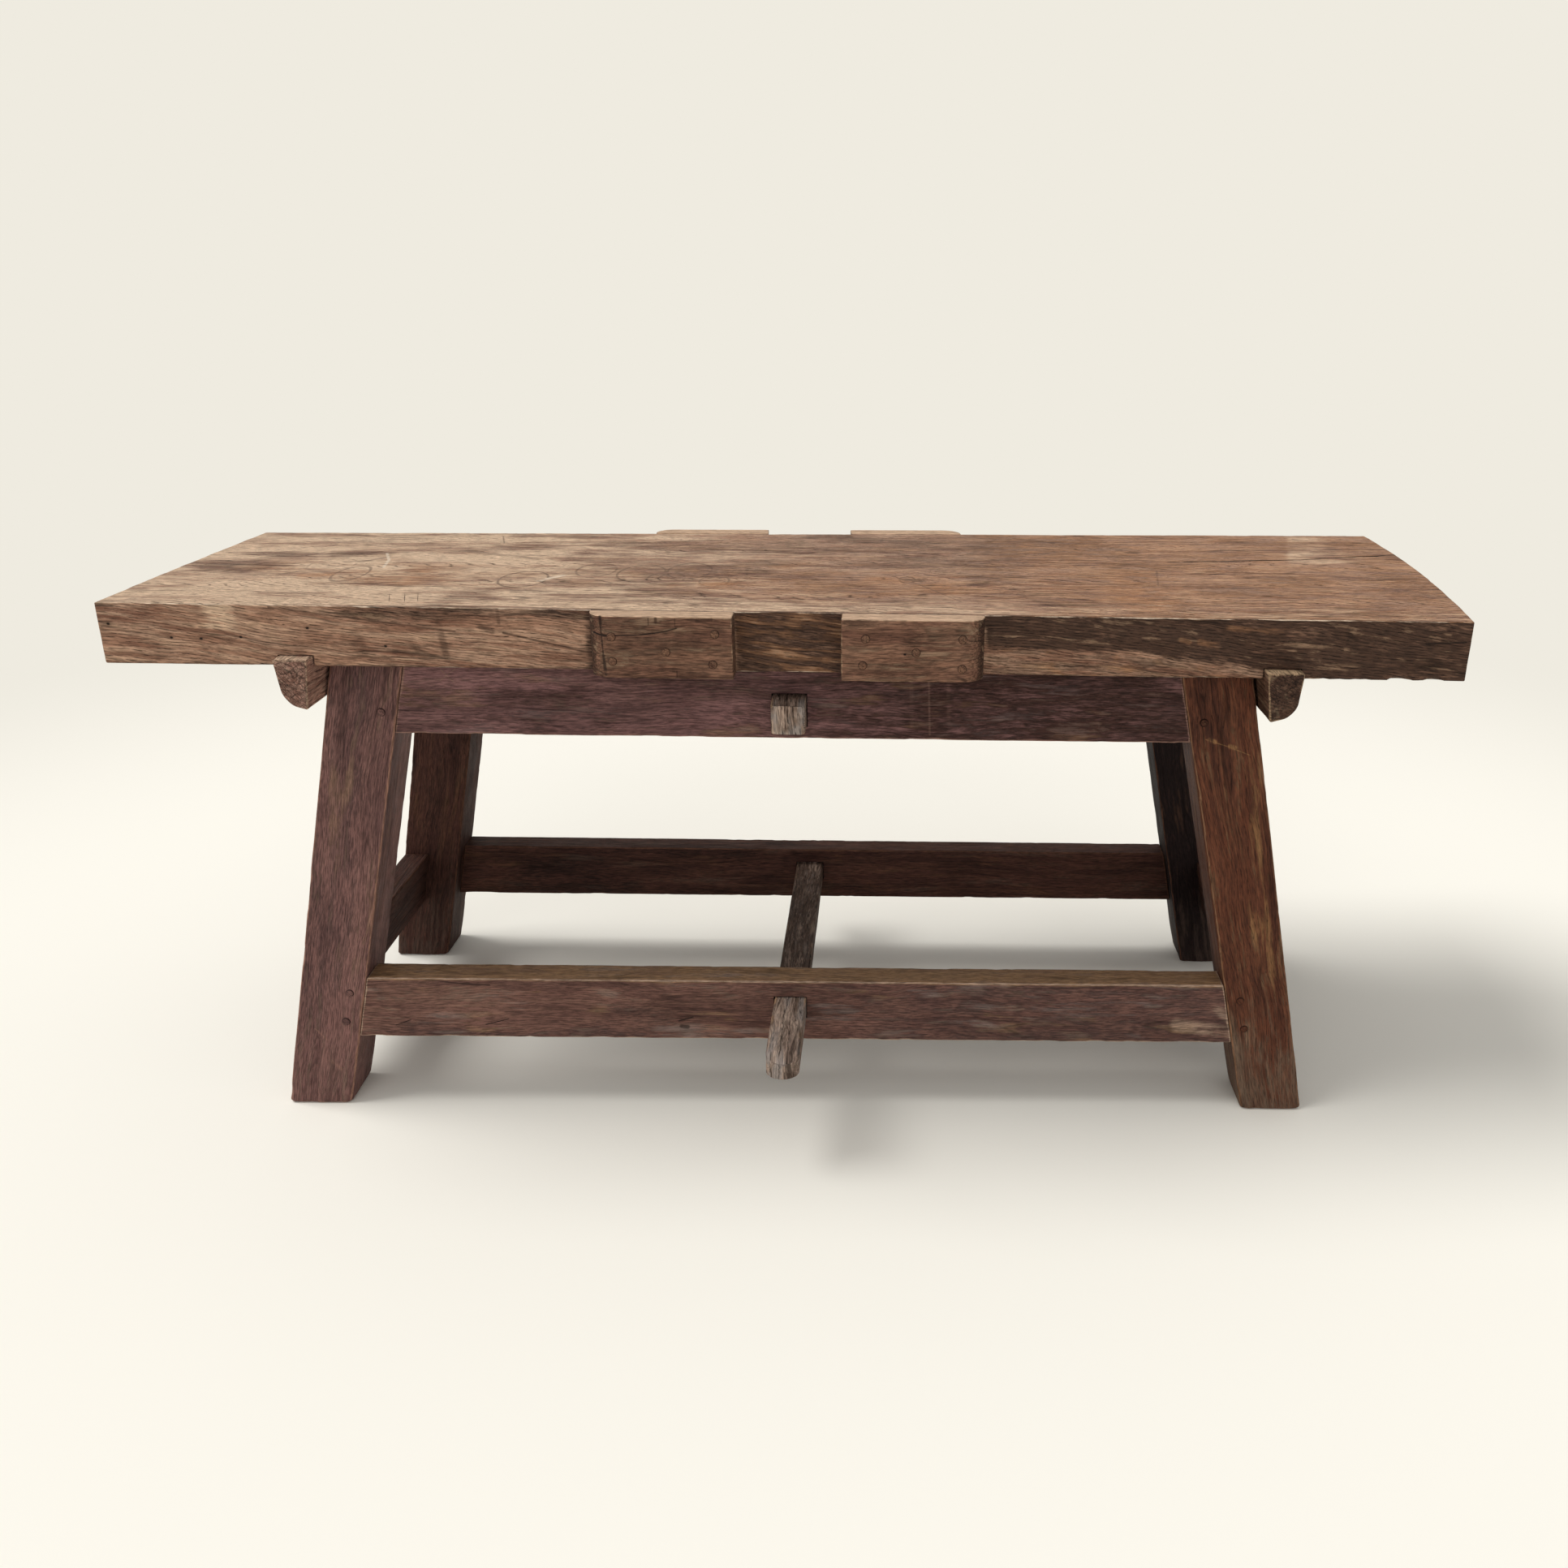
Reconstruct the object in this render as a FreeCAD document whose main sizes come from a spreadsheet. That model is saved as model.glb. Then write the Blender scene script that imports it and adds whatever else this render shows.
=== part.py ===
import FreeCAD, Part
import os
import Sketcher

doc = FreeCAD.newDocument("WorkTable")
Vector = FreeCAD.Vector
Rotation = FreeCAD.Rotation

# Driving sizes in millimetres, by piece
SIZES = {
    # Top: one plank, its rear edge slanting away from the straight front edge
    "TopHeight": 800,
    "SlabThickness": 86,
    "SlabLength": 1942,
    "SlabOverhang": 46,
    "SlabLeftDepth": 518,
    "SlabRightDepth": 651,
    "FrontRightInset": 58,
    "RightBowInset": 14,
    "RearLeftInset": 8,
    "LeftBowInset": 2,
    "BaseOffset": 29,
    # Cheek blocks on the plank's long edges
    "BlockLength": 196,
    "BlockDepth": 37,
    "BlockGap": 146,
    "FrontGapOffset": -4,
    "RearGapOffset": -10,
    "BlockCorner": 24,
    "BlockPegRadius": 6.5,
    "BlockPegBite": 42,
    # Battens let into the plank's underside, just outside the legs
    "BattenHeight": 75,
    "BattenHousing": 15,
    "LeftBattenWidth": 48,
    "RightBattenWidth": 53,
    "BattenLegGap": 2,
    "BattenReach": 22,
    "BattenCorner": 24,
    "BattenEndSlope": 9,
    "HousingClearance": 0.5,
    # Legs, leaning outwards both ways
    "EndOverhang": 316,
    "LegSplay": 144,
    "LegTopWidth": 104,
    "LegFootWidth": 98,
    "LegTopReach": 250,
    "LegRake": 39,
    "LegDepth": 89,
    # Aprons and end rails under the plank
    "ApronHeight": 108,
    "ApronGap": 3,
    "ApronThickness": 45,
    "RailSetback": 1.5,
    # Stretchers near the floor
    "StretcherFloor": 117,
    "StretcherHeight": 100,
    "StretcherThickness": 49,
    "EndStretcherThickness": 44,
    # Tenons and their pegs
    "TenonLength": 55,
    "TenonThickness": 16,
    "TenonFaceWall": 16,
    "TenonEdgeWall": 10,
    "TenonClearance": 0.3,
    "LegPegRadius": 6.5,
    "LegPegDepth": 46,
    "LegPegInset": 23,
    "ApronPegDrop": 22,
    "StretcherPegSpacing": 48,
    "PegProud": 1.5,
    "PegClearance": 0.2,
    # Loose cross bars and their slots
    "BarWidth": 49,
    "BarClearance": 1,
    "UpperBarThickness": 47,
    "UpperBarRise": 18,
    "UpperBarShift": -8,
    "UpperBarReach": 44,
    "UpperBarCorner": 7,
    "LowerBarThickness": 34,
    "LowerBarRise": 38,
    "LowerBarShift": -12,
    "LowerBarFrontReach": 178,
    "LowerBarRearReach": 82,
    "LowerBarCorner": 17,
    # How far every cutting tool runs past what it cuts
    "Overrun": 20,
}

# Peg places on each cheek block, as shares of its length from the outer end and of its height
PEG_PLACE_SHARES = {
    "front_left": [(0.17, 0.67), (0.17, 0.27), (0.54, 0.43), (0.88, 0.73), (0.86, 0.24)],
    "front_right": [(0.16, 0.70), (0.16, 0.22), (0.48, 0.48), (0.83, 0.69), (0.85, 0.26)],
    "rear_left": [(0.18, 0.70), (0.17, 0.26), (0.50, 0.46), (0.84, 0.72), (0.85, 0.25)],
    "rear_right": [(0.17, 0.69), (0.18, 0.25), (0.51, 0.49), (0.86, 0.71), (0.84, 0.27)],
}

sheet = doc.addObject("Spreadsheet::Sheet", "Size")
for row, (alias, number) in enumerate(SIZES.items(), start=1):
    sheet.set(f"A{row}", alias)
    sheet.set(f"B{row}", str(number))
    sheet.setAlias(f"B{row}", alias)
doc.recompute()

# The frame of the table stands off the middle of the plank, and the lower bar's two ends
# reach unequally far, so the frame's middle lies here when the whole table is centred
MIDDLE_X = "(-Size.BaseOffset)"
MIDDLE_Y = "((Size.LowerBarFrontReach - Size.LowerBarRearReach) / 2)"

LEG_HEIGHT = "(Size.TopHeight - Size.SlabThickness)"
LEG_TOP_SPREAD = "(Size.SlabLength / 2 - Size.EndOverhang)"
LEG_FOOT_SPREAD = f"({LEG_TOP_SPREAD} + Size.LegSplay)"
SLAB_FRONT = "(Size.LegTopReach + Size.SlabOverhang)"


def worth(expression):
    """The number that an expression on the sheet gives."""
    return float(sheet.evalExpression(expression))


def bind(item, **expressions):
    """Ties properties of an object to the sheet."""
    for name, expression in expressions.items():
        item.setExpression(name, expression)


def place(item, x, y, z, turn=None):
    """Ties an object's position to the sheet, and turns it about the vertical if asked."""
    item.setExpression("Placement.Base.x", x)
    item.setExpression("Placement.Base.y", y)
    item.setExpression("Placement.Base.z", z)
    if turn is not None:
        item.setExpression("Placement.Rotation.Angle", turn)


def place_on_frame(item):
    """Moves a piece drawn about the frame's middle to where the frame stands."""
    place(item, MIDDLE_X, MIDDLE_Y, "0")


def span(sign, near, far):
    """Low and high end of a stretch that runs outwards from the middle on one side."""
    if sign > 0:
        return near, far
    return f"-({far})", f"-({near})"


def at_height(foot, top, height):
    """A size of the leaning frame at some height, between its value at the floor and at the leg top."""
    return f"({foot} + ({top} - {foot}) * ({height}) / {LEG_HEIGHT})"


def leg_outer(height):
    return at_height(LEG_FOOT_SPREAD, LEG_TOP_SPREAD, height)


def leg_width(height):
    return at_height("Size.LegFootWidth", "Size.LegTopWidth", height)


def leg_inner(height):
    return f"({leg_outer(height)} - {leg_width(height)})"


def leg_front(height):
    return at_height("(Size.LegTopReach + Size.LegRake)", "Size.LegTopReach", height)


def leg_back(height):
    return f"({leg_front(height)} - Size.LegDepth)"


def frustum(name, low, high, x_low, y_low, x_high, y_high):
    """A straight piece with flat faces between a rectangle at one height and one at another."""
    piece = doc.addObject("Part::Wedge", name)
    piece.Placement = FreeCAD.Placement(Vector(0, 0, 0), Rotation(Vector(1, 0, 0), 90))
    bind(piece, Ymin=low, Ymax=high)
    bind(piece, Xmin=x_low[0], Xmax=x_low[1], Zmin=f"-({y_low[1]})", Zmax=f"-({y_low[0]})")
    bind(piece, X2min=x_high[0], X2max=x_high[1], Z2min=f"-({y_high[1]})", Z2max=f"-({y_high[0]})")
    return piece


def box(name, x, y, z):
    """A box between a low and a high value each way."""
    piece = doc.addObject("Part::Box", name)
    bind(piece, Length=f"({x[1]}) - ({x[0]})", Width=f"({y[1]}) - ({y[0]})", Height=f"({z[1]}) - ({z[0]})")
    place(piece, x[0], y[0], z[0])
    return piece


def rod(name, radius, length, start, axis, angle):
    """A round rod from a start point, turned from upright about an axis."""
    piece = doc.addObject("Part::Cylinder", name)
    piece.Placement = FreeCAD.Placement(Vector(0, 0, 0), Rotation(axis, angle))
    bind(piece, Radius=radius, Height=length)
    place(piece, *start)
    return piece


def group(name, pieces):
    """Several separate solids as one object."""
    bundle = doc.addObject("Part::Compound", name)
    bundle.Links = pieces
    return bundle


def joined(name, pieces):
    """Several solids that meet, made one."""
    whole = doc.addObject("Part::MultiFuse", name)
    whole.Shapes = pieces
    whole.Refine = True
    return whole


def cut(name, base, tool):
    """One object less another."""
    rest = doc.addObject("Part::Cut", name)
    rest.Base = base
    rest.Tool = tool
    return rest


def plane_of(body, role):
    return next(feature for feature in body.Origin.OriginFeatures if feature.Role == role)


def outline(body, role, name, corners, bows=None):
    """A closed sketch through corners given as expressions. A side in bows is an arc through a point."""
    bows = bows or {}
    sketch = body.newObject("Sketcher::SketchObject", name)
    sketch.AttachmentSupport = [(plane_of(body, role), "")]
    sketch.MapMode = "FlatFace"
    places = [Vector(worth(across), worth(up), 0) for across, up in corners]
    count = len(places)
    ends = []
    for side, start in enumerate(places):
        finish = places[(side + 1) % count]
        anticlockwise = True
        if side in bows:
            across, up = bows[side]
            through = Vector(worth(across), worth(up), 0)
            anticlockwise = (through - start).cross(finish - start).z > 0
            first, last = (start, finish) if anticlockwise else (finish, start)
            sketch.addGeometry(Part.Arc(first, through, last), False)
        else:
            sketch.addGeometry(Part.LineSegment(start, finish), False)
        ends.append((1, 2) if anticlockwise else (2, 1))
    for side in range(count):
        after = (side + 1) % count
        sketch.addConstraint(Sketcher.Constraint("Coincident", side, ends[side][1], after, ends[after][0]))
    for side, (across, up) in enumerate(corners):
        fix_point(sketch, side, ends[side][0], across, up)
    for side, (across, up) in bows.items():
        point = sketch.addGeometry(Part.Point(Vector(worth(across), worth(up), 0)), True)
        fix_point(sketch, point, 1, across, up)
        sketch.addConstraint(Sketcher.Constraint("PointOnObject", point, 1, side))
    return sketch


def fix_point(sketch, geometry, position, across, up):
    """Ties a point of a sketch to two expressions."""
    for kind, expression in (("DistanceX", across), ("DistanceY", up)):
        rule = sketch.addConstraint(
            Sketcher.Constraint(kind, -1, 1, geometry, position, worth(expression)))
        sketch.setExpression(f"Constraints[{rule}]", expression)


def pad(body, name, sketch, length):
    feature = body.newObject("PartDesign::Pad", name)
    feature.Profile = sketch
    bind(feature, Length=length)
    doc.recompute()
    return feature


def pocket(body, name, sketch, length, reverse):
    feature = body.newObject("PartDesign::Pocket", name)
    feature.Profile = sketch
    feature.Reversed = reverse
    bind(feature, Length=length)
    doc.recompute()
    return feature


def round_uprights(body, name, base, radius, wanted):
    """Rounds the upright edges of a feature whose foot passes a test."""
    names = []
    for number, edge in enumerate(base.Shape.Edges, start=1):
        first, last = edge.Vertexes[0].Point, edge.Vertexes[-1].Point
        upright = Vector(first.x, first.y, 0).distanceToPoint(Vector(last.x, last.y, 0)) < 0.001 * edge.Length
        if upright and wanted(first):
            names.append(f"Edge{number}")
    feature = body.newObject("PartDesign::Fillet", name)
    feature.Base = (base, names)
    bind(feature, Radius=radius)
    doc.recompute()
    return feature


# Plank: a plan outline with two bowed ends, raised by its thickness, with a housing for each batten
def rear_edge(x):
    """Distance of the plank's slanting rear edge behind the frame's middle, at some place along it."""
    left = "(Size.RearLeftInset + Size.BaseOffset - Size.SlabLength / 2)"
    run = "(Size.SlabLength - Size.RearLeftInset)"
    rise = "(Size.SlabRightDepth - Size.SlabLeftDepth)"
    return f"(Size.SlabLeftDepth - {SLAB_FRONT} + {rise} * (({x}) - {left}) / {run})"


def batten_sides(sign, width):
    """Inner and outer side of a batten at the plank's underside."""
    inner = f"({leg_outer(LEG_HEIGHT)} + Size.BattenLegGap)"
    return inner, f"({inner} + {width})"


BATTEN_WIDTH = {-1: "Size.LeftBattenWidth", 1: "Size.RightBattenWidth"}
slab_body = doc.addObject("PartDesign::Body", "SlabBody")
left_end = "(Size.BaseOffset - Size.SlabLength / 2)"
right_end = "(Size.BaseOffset + Size.SlabLength / 2)"
left_rear = f"(Size.SlabLeftDepth - {SLAB_FRONT})"
right_rear = f"(Size.SlabRightDepth - {SLAB_FRONT})"
slab_outline = outline(
    slab_body, "XY_Plane", "SlabOutline",
    [
        (left_end, f"-{SLAB_FRONT}"),
        (f"{right_end} - Size.FrontRightInset", f"-{SLAB_FRONT}"),
        (right_end, right_rear),
        (f"{left_end} + Size.RearLeftInset", left_rear),
    ],
    {
        1: (f"{right_end} - Size.RightBowInset", f"Size.SlabRightDepth / 2 - {SLAB_FRONT}"),
        3: (f"{left_end} + Size.LeftBowInset", f"Size.SlabLeftDepth / 2 - {SLAB_FRONT}"),
    })
slab_plank = pad(slab_body, "SlabPlank", slab_outline, "Size.SlabThickness")
for sign, side_name in ((-1, "Left"), (1, "Right")):
    inner, outer = batten_sides(sign, BATTEN_WIDTH[sign])
    x_low, x_high = span(sign, f"{inner} - Size.HousingClearance", f"{outer} + Size.HousingClearance")
    y_low, y_high = f"-{SLAB_FRONT} - Size.Overrun", f"{right_rear} + Size.Overrun"
    housing = outline(
        slab_body, "XY_Plane", f"{side_name}HousingOutline",
        [(x_low, y_low), (x_high, y_low), (x_high, y_high), (x_low, y_high)])
    pocket(slab_body, f"{side_name}Housing", housing, "Size.BattenHousing", True)
place(slab_body, "0", "0", LEG_HEIGHT)

# Cheek blocks: each stands against a long edge of the plank, its outer corner rounded, and is held by
# five pegs that run through it into the plank
nodes = []
slab_holes = []
REAR_SLANT = "(Size.SlabRightDepth - Size.SlabLeftDepth) / (Size.SlabLength - Size.RearLeftInset)"
for front, side_name, sign in ((True, "left", -1), (True, "right", 1), (False, "left", -1), (False, "right", 1)):
    row_name = "front" if front else "rear"
    block_name = f"{row_name}_{side_name}_block"
    outward = -sign if front else sign
    gap_offset = "Size.FrontGapOffset" if front else "Size.RearGapOffset"
    middle = f"({gap_offset} + {sign} * (Size.BlockGap + Size.BlockLength) / 2)"
    edge = f"-{SLAB_FRONT}" if front else rear_edge(middle)
    turn = "180" if front else f"atan({REAR_SLANT})"

    def settle(item):
        place(item, f"{MIDDLE_X} + {middle}", f"{MIDDLE_Y} + {edge}", LEG_HEIGHT, turn)

    body = doc.addObject("PartDesign::Body", f"{block_name}_body")
    plan = outline(
        body, "XY_Plane", f"{block_name}_plan",
        [
            ("-Size.BlockLength / 2", "0"),
            ("Size.BlockLength / 2", "0"),
            ("Size.BlockLength / 2", "Size.BlockDepth"),
            ("-Size.BlockLength / 2", "Size.BlockDepth"),
        ])
    plain = pad(body, f"{block_name}_pad", plan, "Size.SlabThickness")
    round_uprights(
        body, f"{block_name}_corner", plain, "Size.BlockCorner",
        lambda foot: foot.x * outward > 0 and foot.y > worth("Size.BlockDepth") / 2)
    pegs = []
    holes = []
    for number, (along_share, up_share) in enumerate(PEG_PLACE_SHARES[f"{row_name}_{side_name}"], start=1):
        along = f"{outward} * Size.BlockLength * (0.5 - {along_share})"
        up = f"Size.SlabThickness * {up_share}"
        pegs.append(rod(
            f"{block_name}_peg_{number}", "Size.BlockPegRadius",
            "Size.PegProud + Size.BlockDepth + Size.BlockPegBite",
            (along, "Size.BlockDepth + Size.PegProud", up), Vector(1, 0, 0), 90))
        holes.append(rod(
            f"{block_name}_hole_{number}", "Size.BlockPegRadius + Size.PegClearance",
            "Size.Overrun + Size.BlockDepth + Size.BlockPegBite",
            (along, "Size.BlockDepth + Size.Overrun", up), Vector(1, 0, 0), 90))
    peg_group = group(f"{block_name}_pegs", pegs)
    settle(peg_group)
    hole_group = group(f"{block_name}_holes", holes)
    drilled = cut(block_name, body, hole_group)
    settle(drilled)
    slab_drill = group(f"{block_name}_slab_holes", holes)
    place(slab_drill, middle, edge, LEG_HEIGHT, turn)
    slab_holes.append(slab_drill)
    nodes += [drilled, peg_group]

slab = cut("top_slab", slab_body, group("slab_holes", slab_holes))
place_on_frame(slab)
nodes.insert(0, slab)

# Battens: let into the plank's underside, leaning with the legs on the inner side, with one rounded
# lower corner and ends that slope back
for sign, side_name in ((-1, "left"), (1, "right")):
    inner, outer = batten_sides(sign, BATTEN_WIDTH[sign])
    foot = f"({LEG_HEIGHT} + Size.BattenHousing - Size.BattenHeight)"
    inner_foot = f"({leg_outer(foot)} + Size.BattenLegGap)"
    rear_end = f"({rear_edge(f'{sign} * {inner}')} + Size.BattenReach)"
    front_end = f"({SLAB_FRONT} + Size.BattenReach)"
    corner_in = "Size.BattenCorner * (1 - cos(45))"
    body = doc.addObject("PartDesign::Body", f"{side_name}_batten")
    corners = [
        (f"{sign} * {inner}", f"{LEG_HEIGHT} + Size.BattenHousing"),
        (f"{sign} * {outer}", f"{LEG_HEIGHT} + Size.BattenHousing"),
        (f"{sign} * {outer}", f"{foot} + Size.BattenCorner"),
        (f"{sign} * ({outer} - Size.BattenCorner)", foot),
        (f"{sign} * {inner_foot}", foot),
        (f"{sign} * {inner}", LEG_HEIGHT),
    ]
    section = outline(
        body, "XZ_Plane", f"{side_name}_batten_section", corners,
        {2: (f"{sign} * ({outer} - {corner_in})", f"{foot} + {corner_in}")})
    plain = pad(body, f"{side_name}_batten_pad", section, f"{rear_end} + {front_end}")
    for end_name, end, inwards in (("front", f"-({rear_end} + {front_end})", 1), ("rear", "0", -1)):
        slope = outline(
            body, "YZ_Plane", f"{side_name}_batten_{end_name}_slope",
            [
                (end, LEG_HEIGHT),
                (f"{end} + {inwards} * Size.BattenEndSlope", foot),
                (f"{end} + {inwards} * Size.BattenEndSlope", f"{foot} - Size.Overrun"),
                (f"{end} - {inwards} * Size.Overrun", f"{foot} - Size.Overrun"),
                (f"{end} - {inwards} * Size.Overrun", LEG_HEIGHT),
            ])
        pocket(body, f"{side_name}_batten_{end_name}_end", slope, f"{outer} + Size.Overrun", sign > 0)
    place(body, MIDDLE_X, f"{MIDDLE_Y} + {rear_end}", "0")
    nodes.append(body)

# Rails between the legs. Each is a leaning board with a tenon at both ends: the long ones lie near the
# legs' front or back face, the end ones near the legs' outer face
APRON_TOP = f"({LEG_HEIGHT} - Size.ApronGap)"
APRON_FOOT = f"({APRON_TOP} - Size.ApronHeight)"
APRON_MIDDLE = f"({APRON_TOP} - Size.ApronHeight / 2)"
STRETCHER_TOP = "(Size.StretcherFloor + Size.StretcherHeight)"
STRETCHER_MIDDLE = "(Size.StretcherFloor + Size.StretcherHeight / 2)"
APRON_LEVEL = ("apron", APRON_FOOT, APRON_TOP, APRON_MIDDLE)
STRETCHER_LEVEL = ("stretcher", "Size.StretcherFloor", STRETCHER_TOP, STRETCHER_MIDDLE)


def long_tenon(level, sign, slack):
    """Box of the tenons of a long rail, or with slack of the mortises that take them."""
    foot, top, middle = level[1:]
    face = f"({leg_front(middle)} - Size.TenonFaceWall)"
    reach = f"({leg_inner(middle)} + Size.TenonLength + {slack})"
    y = span(sign, f"{face} - Size.TenonThickness - {slack}", f"{face} + {slack}")
    z = (f"{foot} + Size.TenonEdgeWall - {slack}", f"{top} - Size.TenonEdgeWall + {slack}")
    return (f"-{reach}", reach), y, z


def end_tenon(level, sign, slack):
    """The same for a rail at one end of the table."""
    foot, top, middle = level[1:]
    face = f"({leg_outer(middle)} - Size.TenonFaceWall)"
    reach = f"({leg_back(middle)} + Size.TenonLength + {slack})"
    x = span(sign, f"{face} - Size.TenonThickness - {slack}", f"{face} + {slack}")
    z = (f"{foot} + Size.TenonEdgeWall - {slack}", f"{top} - Size.TenonEdgeWall + {slack}")
    return x, (f"-{reach}", reach), z


def long_rail(name, level, sign, thickness):
    foot, top = level[1], level[2]
    outer_low = f"({leg_front(foot)} - Size.RailSetback)"
    outer_high = f"({leg_front(top)} - Size.RailSetback)"
    board = frustum(
        f"{name}_board", foot, top,
        (f"-{leg_inner(foot)}", leg_inner(foot)), span(sign, f"{outer_low} - {thickness}", outer_low),
        (f"-{leg_inner(top)}", leg_inner(top)), span(sign, f"{outer_high} - {thickness}", outer_high))
    return joined(f"{name}_blank", [board, box(f"{name}_tenons", *long_tenon(level, sign, "0"))])


def end_rail(name, level, sign, thickness):
    foot, top = level[1], level[2]
    outer_low = f"({leg_outer(foot)} - Size.RailSetback)"
    outer_high = f"({leg_outer(top)} - Size.RailSetback)"
    board = frustum(
        f"{name}_board", foot, top,
        span(sign, f"{outer_low} - {thickness}", outer_low), (f"-{leg_back(foot)}", leg_back(foot)),
        span(sign, f"{outer_high} - {thickness}", outer_high), (f"-{leg_back(top)}", leg_back(top)))
    return joined(f"{name}_blank", [board, box(f"{name}_tenons", *end_tenon(level, sign, "0"))])


# Pegs through the tenons. Those of the long rails go in from the front or back, those of the end rails
# from the end
APRON_PEG = f"({APRON_MIDDLE} - Size.ApronPegDrop)"
STRETCHER_PEG_HIGH = f"({STRETCHER_MIDDLE} + Size.StretcherPegSpacing / 2)"
STRETCHER_PEG_LOW = f"({STRETCHER_MIDDLE} - Size.StretcherPegSpacing / 2)"
PEG_HEIGHTS = {"apron": [APRON_PEG], "stretcher": [STRETCHER_PEG_HIGH, STRETCHER_PEG_LOW]}


def leg_pegs(name, level, x_sign, y_sign, along_table, hole):
    """Pegs, or the holes for them, of one rail in one leg."""
    radius = "Size.LegPegRadius + Size.PegClearance" if hole else "Size.LegPegRadius"
    proud = "Size.Overrun" if hole else "Size.PegProud"
    rods = []
    for number, height in enumerate(PEG_HEIGHTS[level[0]], start=1):
        if along_table:
            start = (f"{x_sign} * ({leg_inner(height)} + Size.LegPegInset)",
                     f"{y_sign} * ({leg_front(height)} + {proud})", height)
            axis, angle = Vector(1, 0, 0), 90 * y_sign
        else:
            start = (f"{x_sign} * ({leg_outer(height)} + {proud})",
                     f"{y_sign} * ({leg_back(height)} + Size.LegPegInset)", height)
            axis, angle = Vector(0, 1, 0), -90 * x_sign
        rods.append(rod(f"{name}_{number}", radius, f"{proud} + Size.LegPegDepth", start, axis, angle))
    return rods


holes_of = {}
SIDES = ((-1, "left"), (1, "right"))
ROWS = ((-1, "front"), (1, "rear"))
LEVELS = (APRON_LEVEL, STRETCHER_LEVEL)
END_NAME = {"apron": "end_rail", "stretcher": "end_stretcher"}

# Legs: one leaning post each, with a mortise for each of its four rails and its joint pegs
for y_sign, row_name in ROWS:
    for x_sign, side_name in SIDES:
        leg_name = f"{row_name}_{side_name}_leg"
        post = frustum(
            f"{leg_name}_post", "0", LEG_HEIGHT,
            span(x_sign, leg_inner("0"), leg_outer("0")), span(y_sign, leg_back("0"), leg_front("0")),
            span(x_sign, leg_inner(LEG_HEIGHT), leg_outer(LEG_HEIGHT)),
            span(y_sign, leg_back(LEG_HEIGHT), leg_front(LEG_HEIGHT)))
        tools = []
        pegs = []
        for level in LEVELS:
            level_name = level[0]
            tools.append(box(
                f"{leg_name}_{level_name}_mortise", *long_tenon(level, y_sign, "Size.TenonClearance")))
            tools.append(box(
                f"{leg_name}_{level_name}_end_mortise", *end_tenon(level, x_sign, "Size.TenonClearance")))
            for along_table, rail_name in (
                    (True, f"{row_name}_{level_name}"), (False, f"{side_name}_{END_NAME[level_name]}")):
                part_name = f"{leg_name}_{rail_name}"
                pegs += leg_pegs(f"{part_name}_peg", level, x_sign, y_sign, along_table, False)
                drills = leg_pegs(f"{part_name}_hole", level, x_sign, y_sign, along_table, True)
                tools += drills
                holes_of.setdefault(rail_name, []).extend(drills)
        leg = cut(leg_name, post, joined(f"{leg_name}_tools", tools))
        place_on_frame(leg)
        peg_group = group(f"{leg_name}_pegs", pegs)
        place_on_frame(peg_group)
        nodes += [leg, peg_group]


# Slots for the loose bars
def bar_sides(shift, slack):
    return f"{shift} - Size.BarWidth / 2 - {slack}", f"{shift} + Size.BarWidth / 2 + {slack}"


SLOTS = {
    "apron": ("Size.UpperBarShift", f"({APRON_FOOT} + Size.UpperBarRise)", "Size.UpperBarThickness"),
    "stretcher": ("Size.LowerBarShift", "(Size.StretcherFloor + Size.LowerBarRise)", "Size.LowerBarThickness"),
}
for level, long_thickness, end_thickness in (
        (APRON_LEVEL, "Size.ApronThickness", "Size.ApronThickness"),
        (STRETCHER_LEVEL, "Size.StretcherThickness", "Size.EndStretcherThickness")):
    level_name = level[0]
    shift, floor, thickness = SLOTS[level_name]
    for y_sign, row_name in ROWS:
        rail_name = f"{row_name}_{level_name}"
        slot = box(
            f"{rail_name}_slot", bar_sides(shift, "Size.BarClearance"),
            span(y_sign, "0", f"{leg_front('0')} + Size.Overrun"),
            (floor, f"{floor} + {thickness} + 2 * Size.BarClearance"))
        blank = long_rail(rail_name, level, y_sign, long_thickness)
        rail = cut(rail_name, blank, group(f"{rail_name}_cuts", holes_of[rail_name] + [slot]))
        place_on_frame(rail)
        nodes.append(rail)
    for x_sign, side_name in SIDES:
        rail_name = f"{side_name}_{END_NAME[level_name]}"
        blank = end_rail(rail_name, level, x_sign, end_thickness)
        rail = cut(rail_name, blank, group(f"{rail_name}_cuts", holes_of[rail_name]))
        place_on_frame(rail)
        nodes.append(rail)


# Loose bars: flat bars with rounded tips that lie on the floors of their slots
def cross_bar(name, level_name, front_reach, rear_reach, corner):
    shift, floor, thickness = SLOTS[level_name]
    face = f"({leg_front(f'{floor} + {thickness} / 2')} - Size.RailSetback)"
    x_low, x_high = bar_sides(shift, "0")
    y_low, y_high = f"-({face} + {front_reach})", f"{face} + {rear_reach}"
    body = doc.addObject("PartDesign::Body", name)
    plan = outline(
        body, "XY_Plane", f"{name}_plan", [(x_low, y_low), (x_high, y_low), (x_high, y_high), (x_low, y_high)])
    plain = pad(body, f"{name}_pad", plan, thickness)
    round_uprights(body, f"{name}_tips", plain, corner, lambda foot: True)
    place(body, MIDDLE_X, MIDDLE_Y, floor)
    nodes.append(body)


cross_bar("upper_cross_bar", "apron", "Size.UpperBarReach", "Size.UpperBarReach", "Size.UpperBarCorner")
cross_bar("lower_cross_bar", "stretcher", "Size.LowerBarFrontReach", "Size.LowerBarRearReach",
          "Size.LowerBarCorner")

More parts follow.
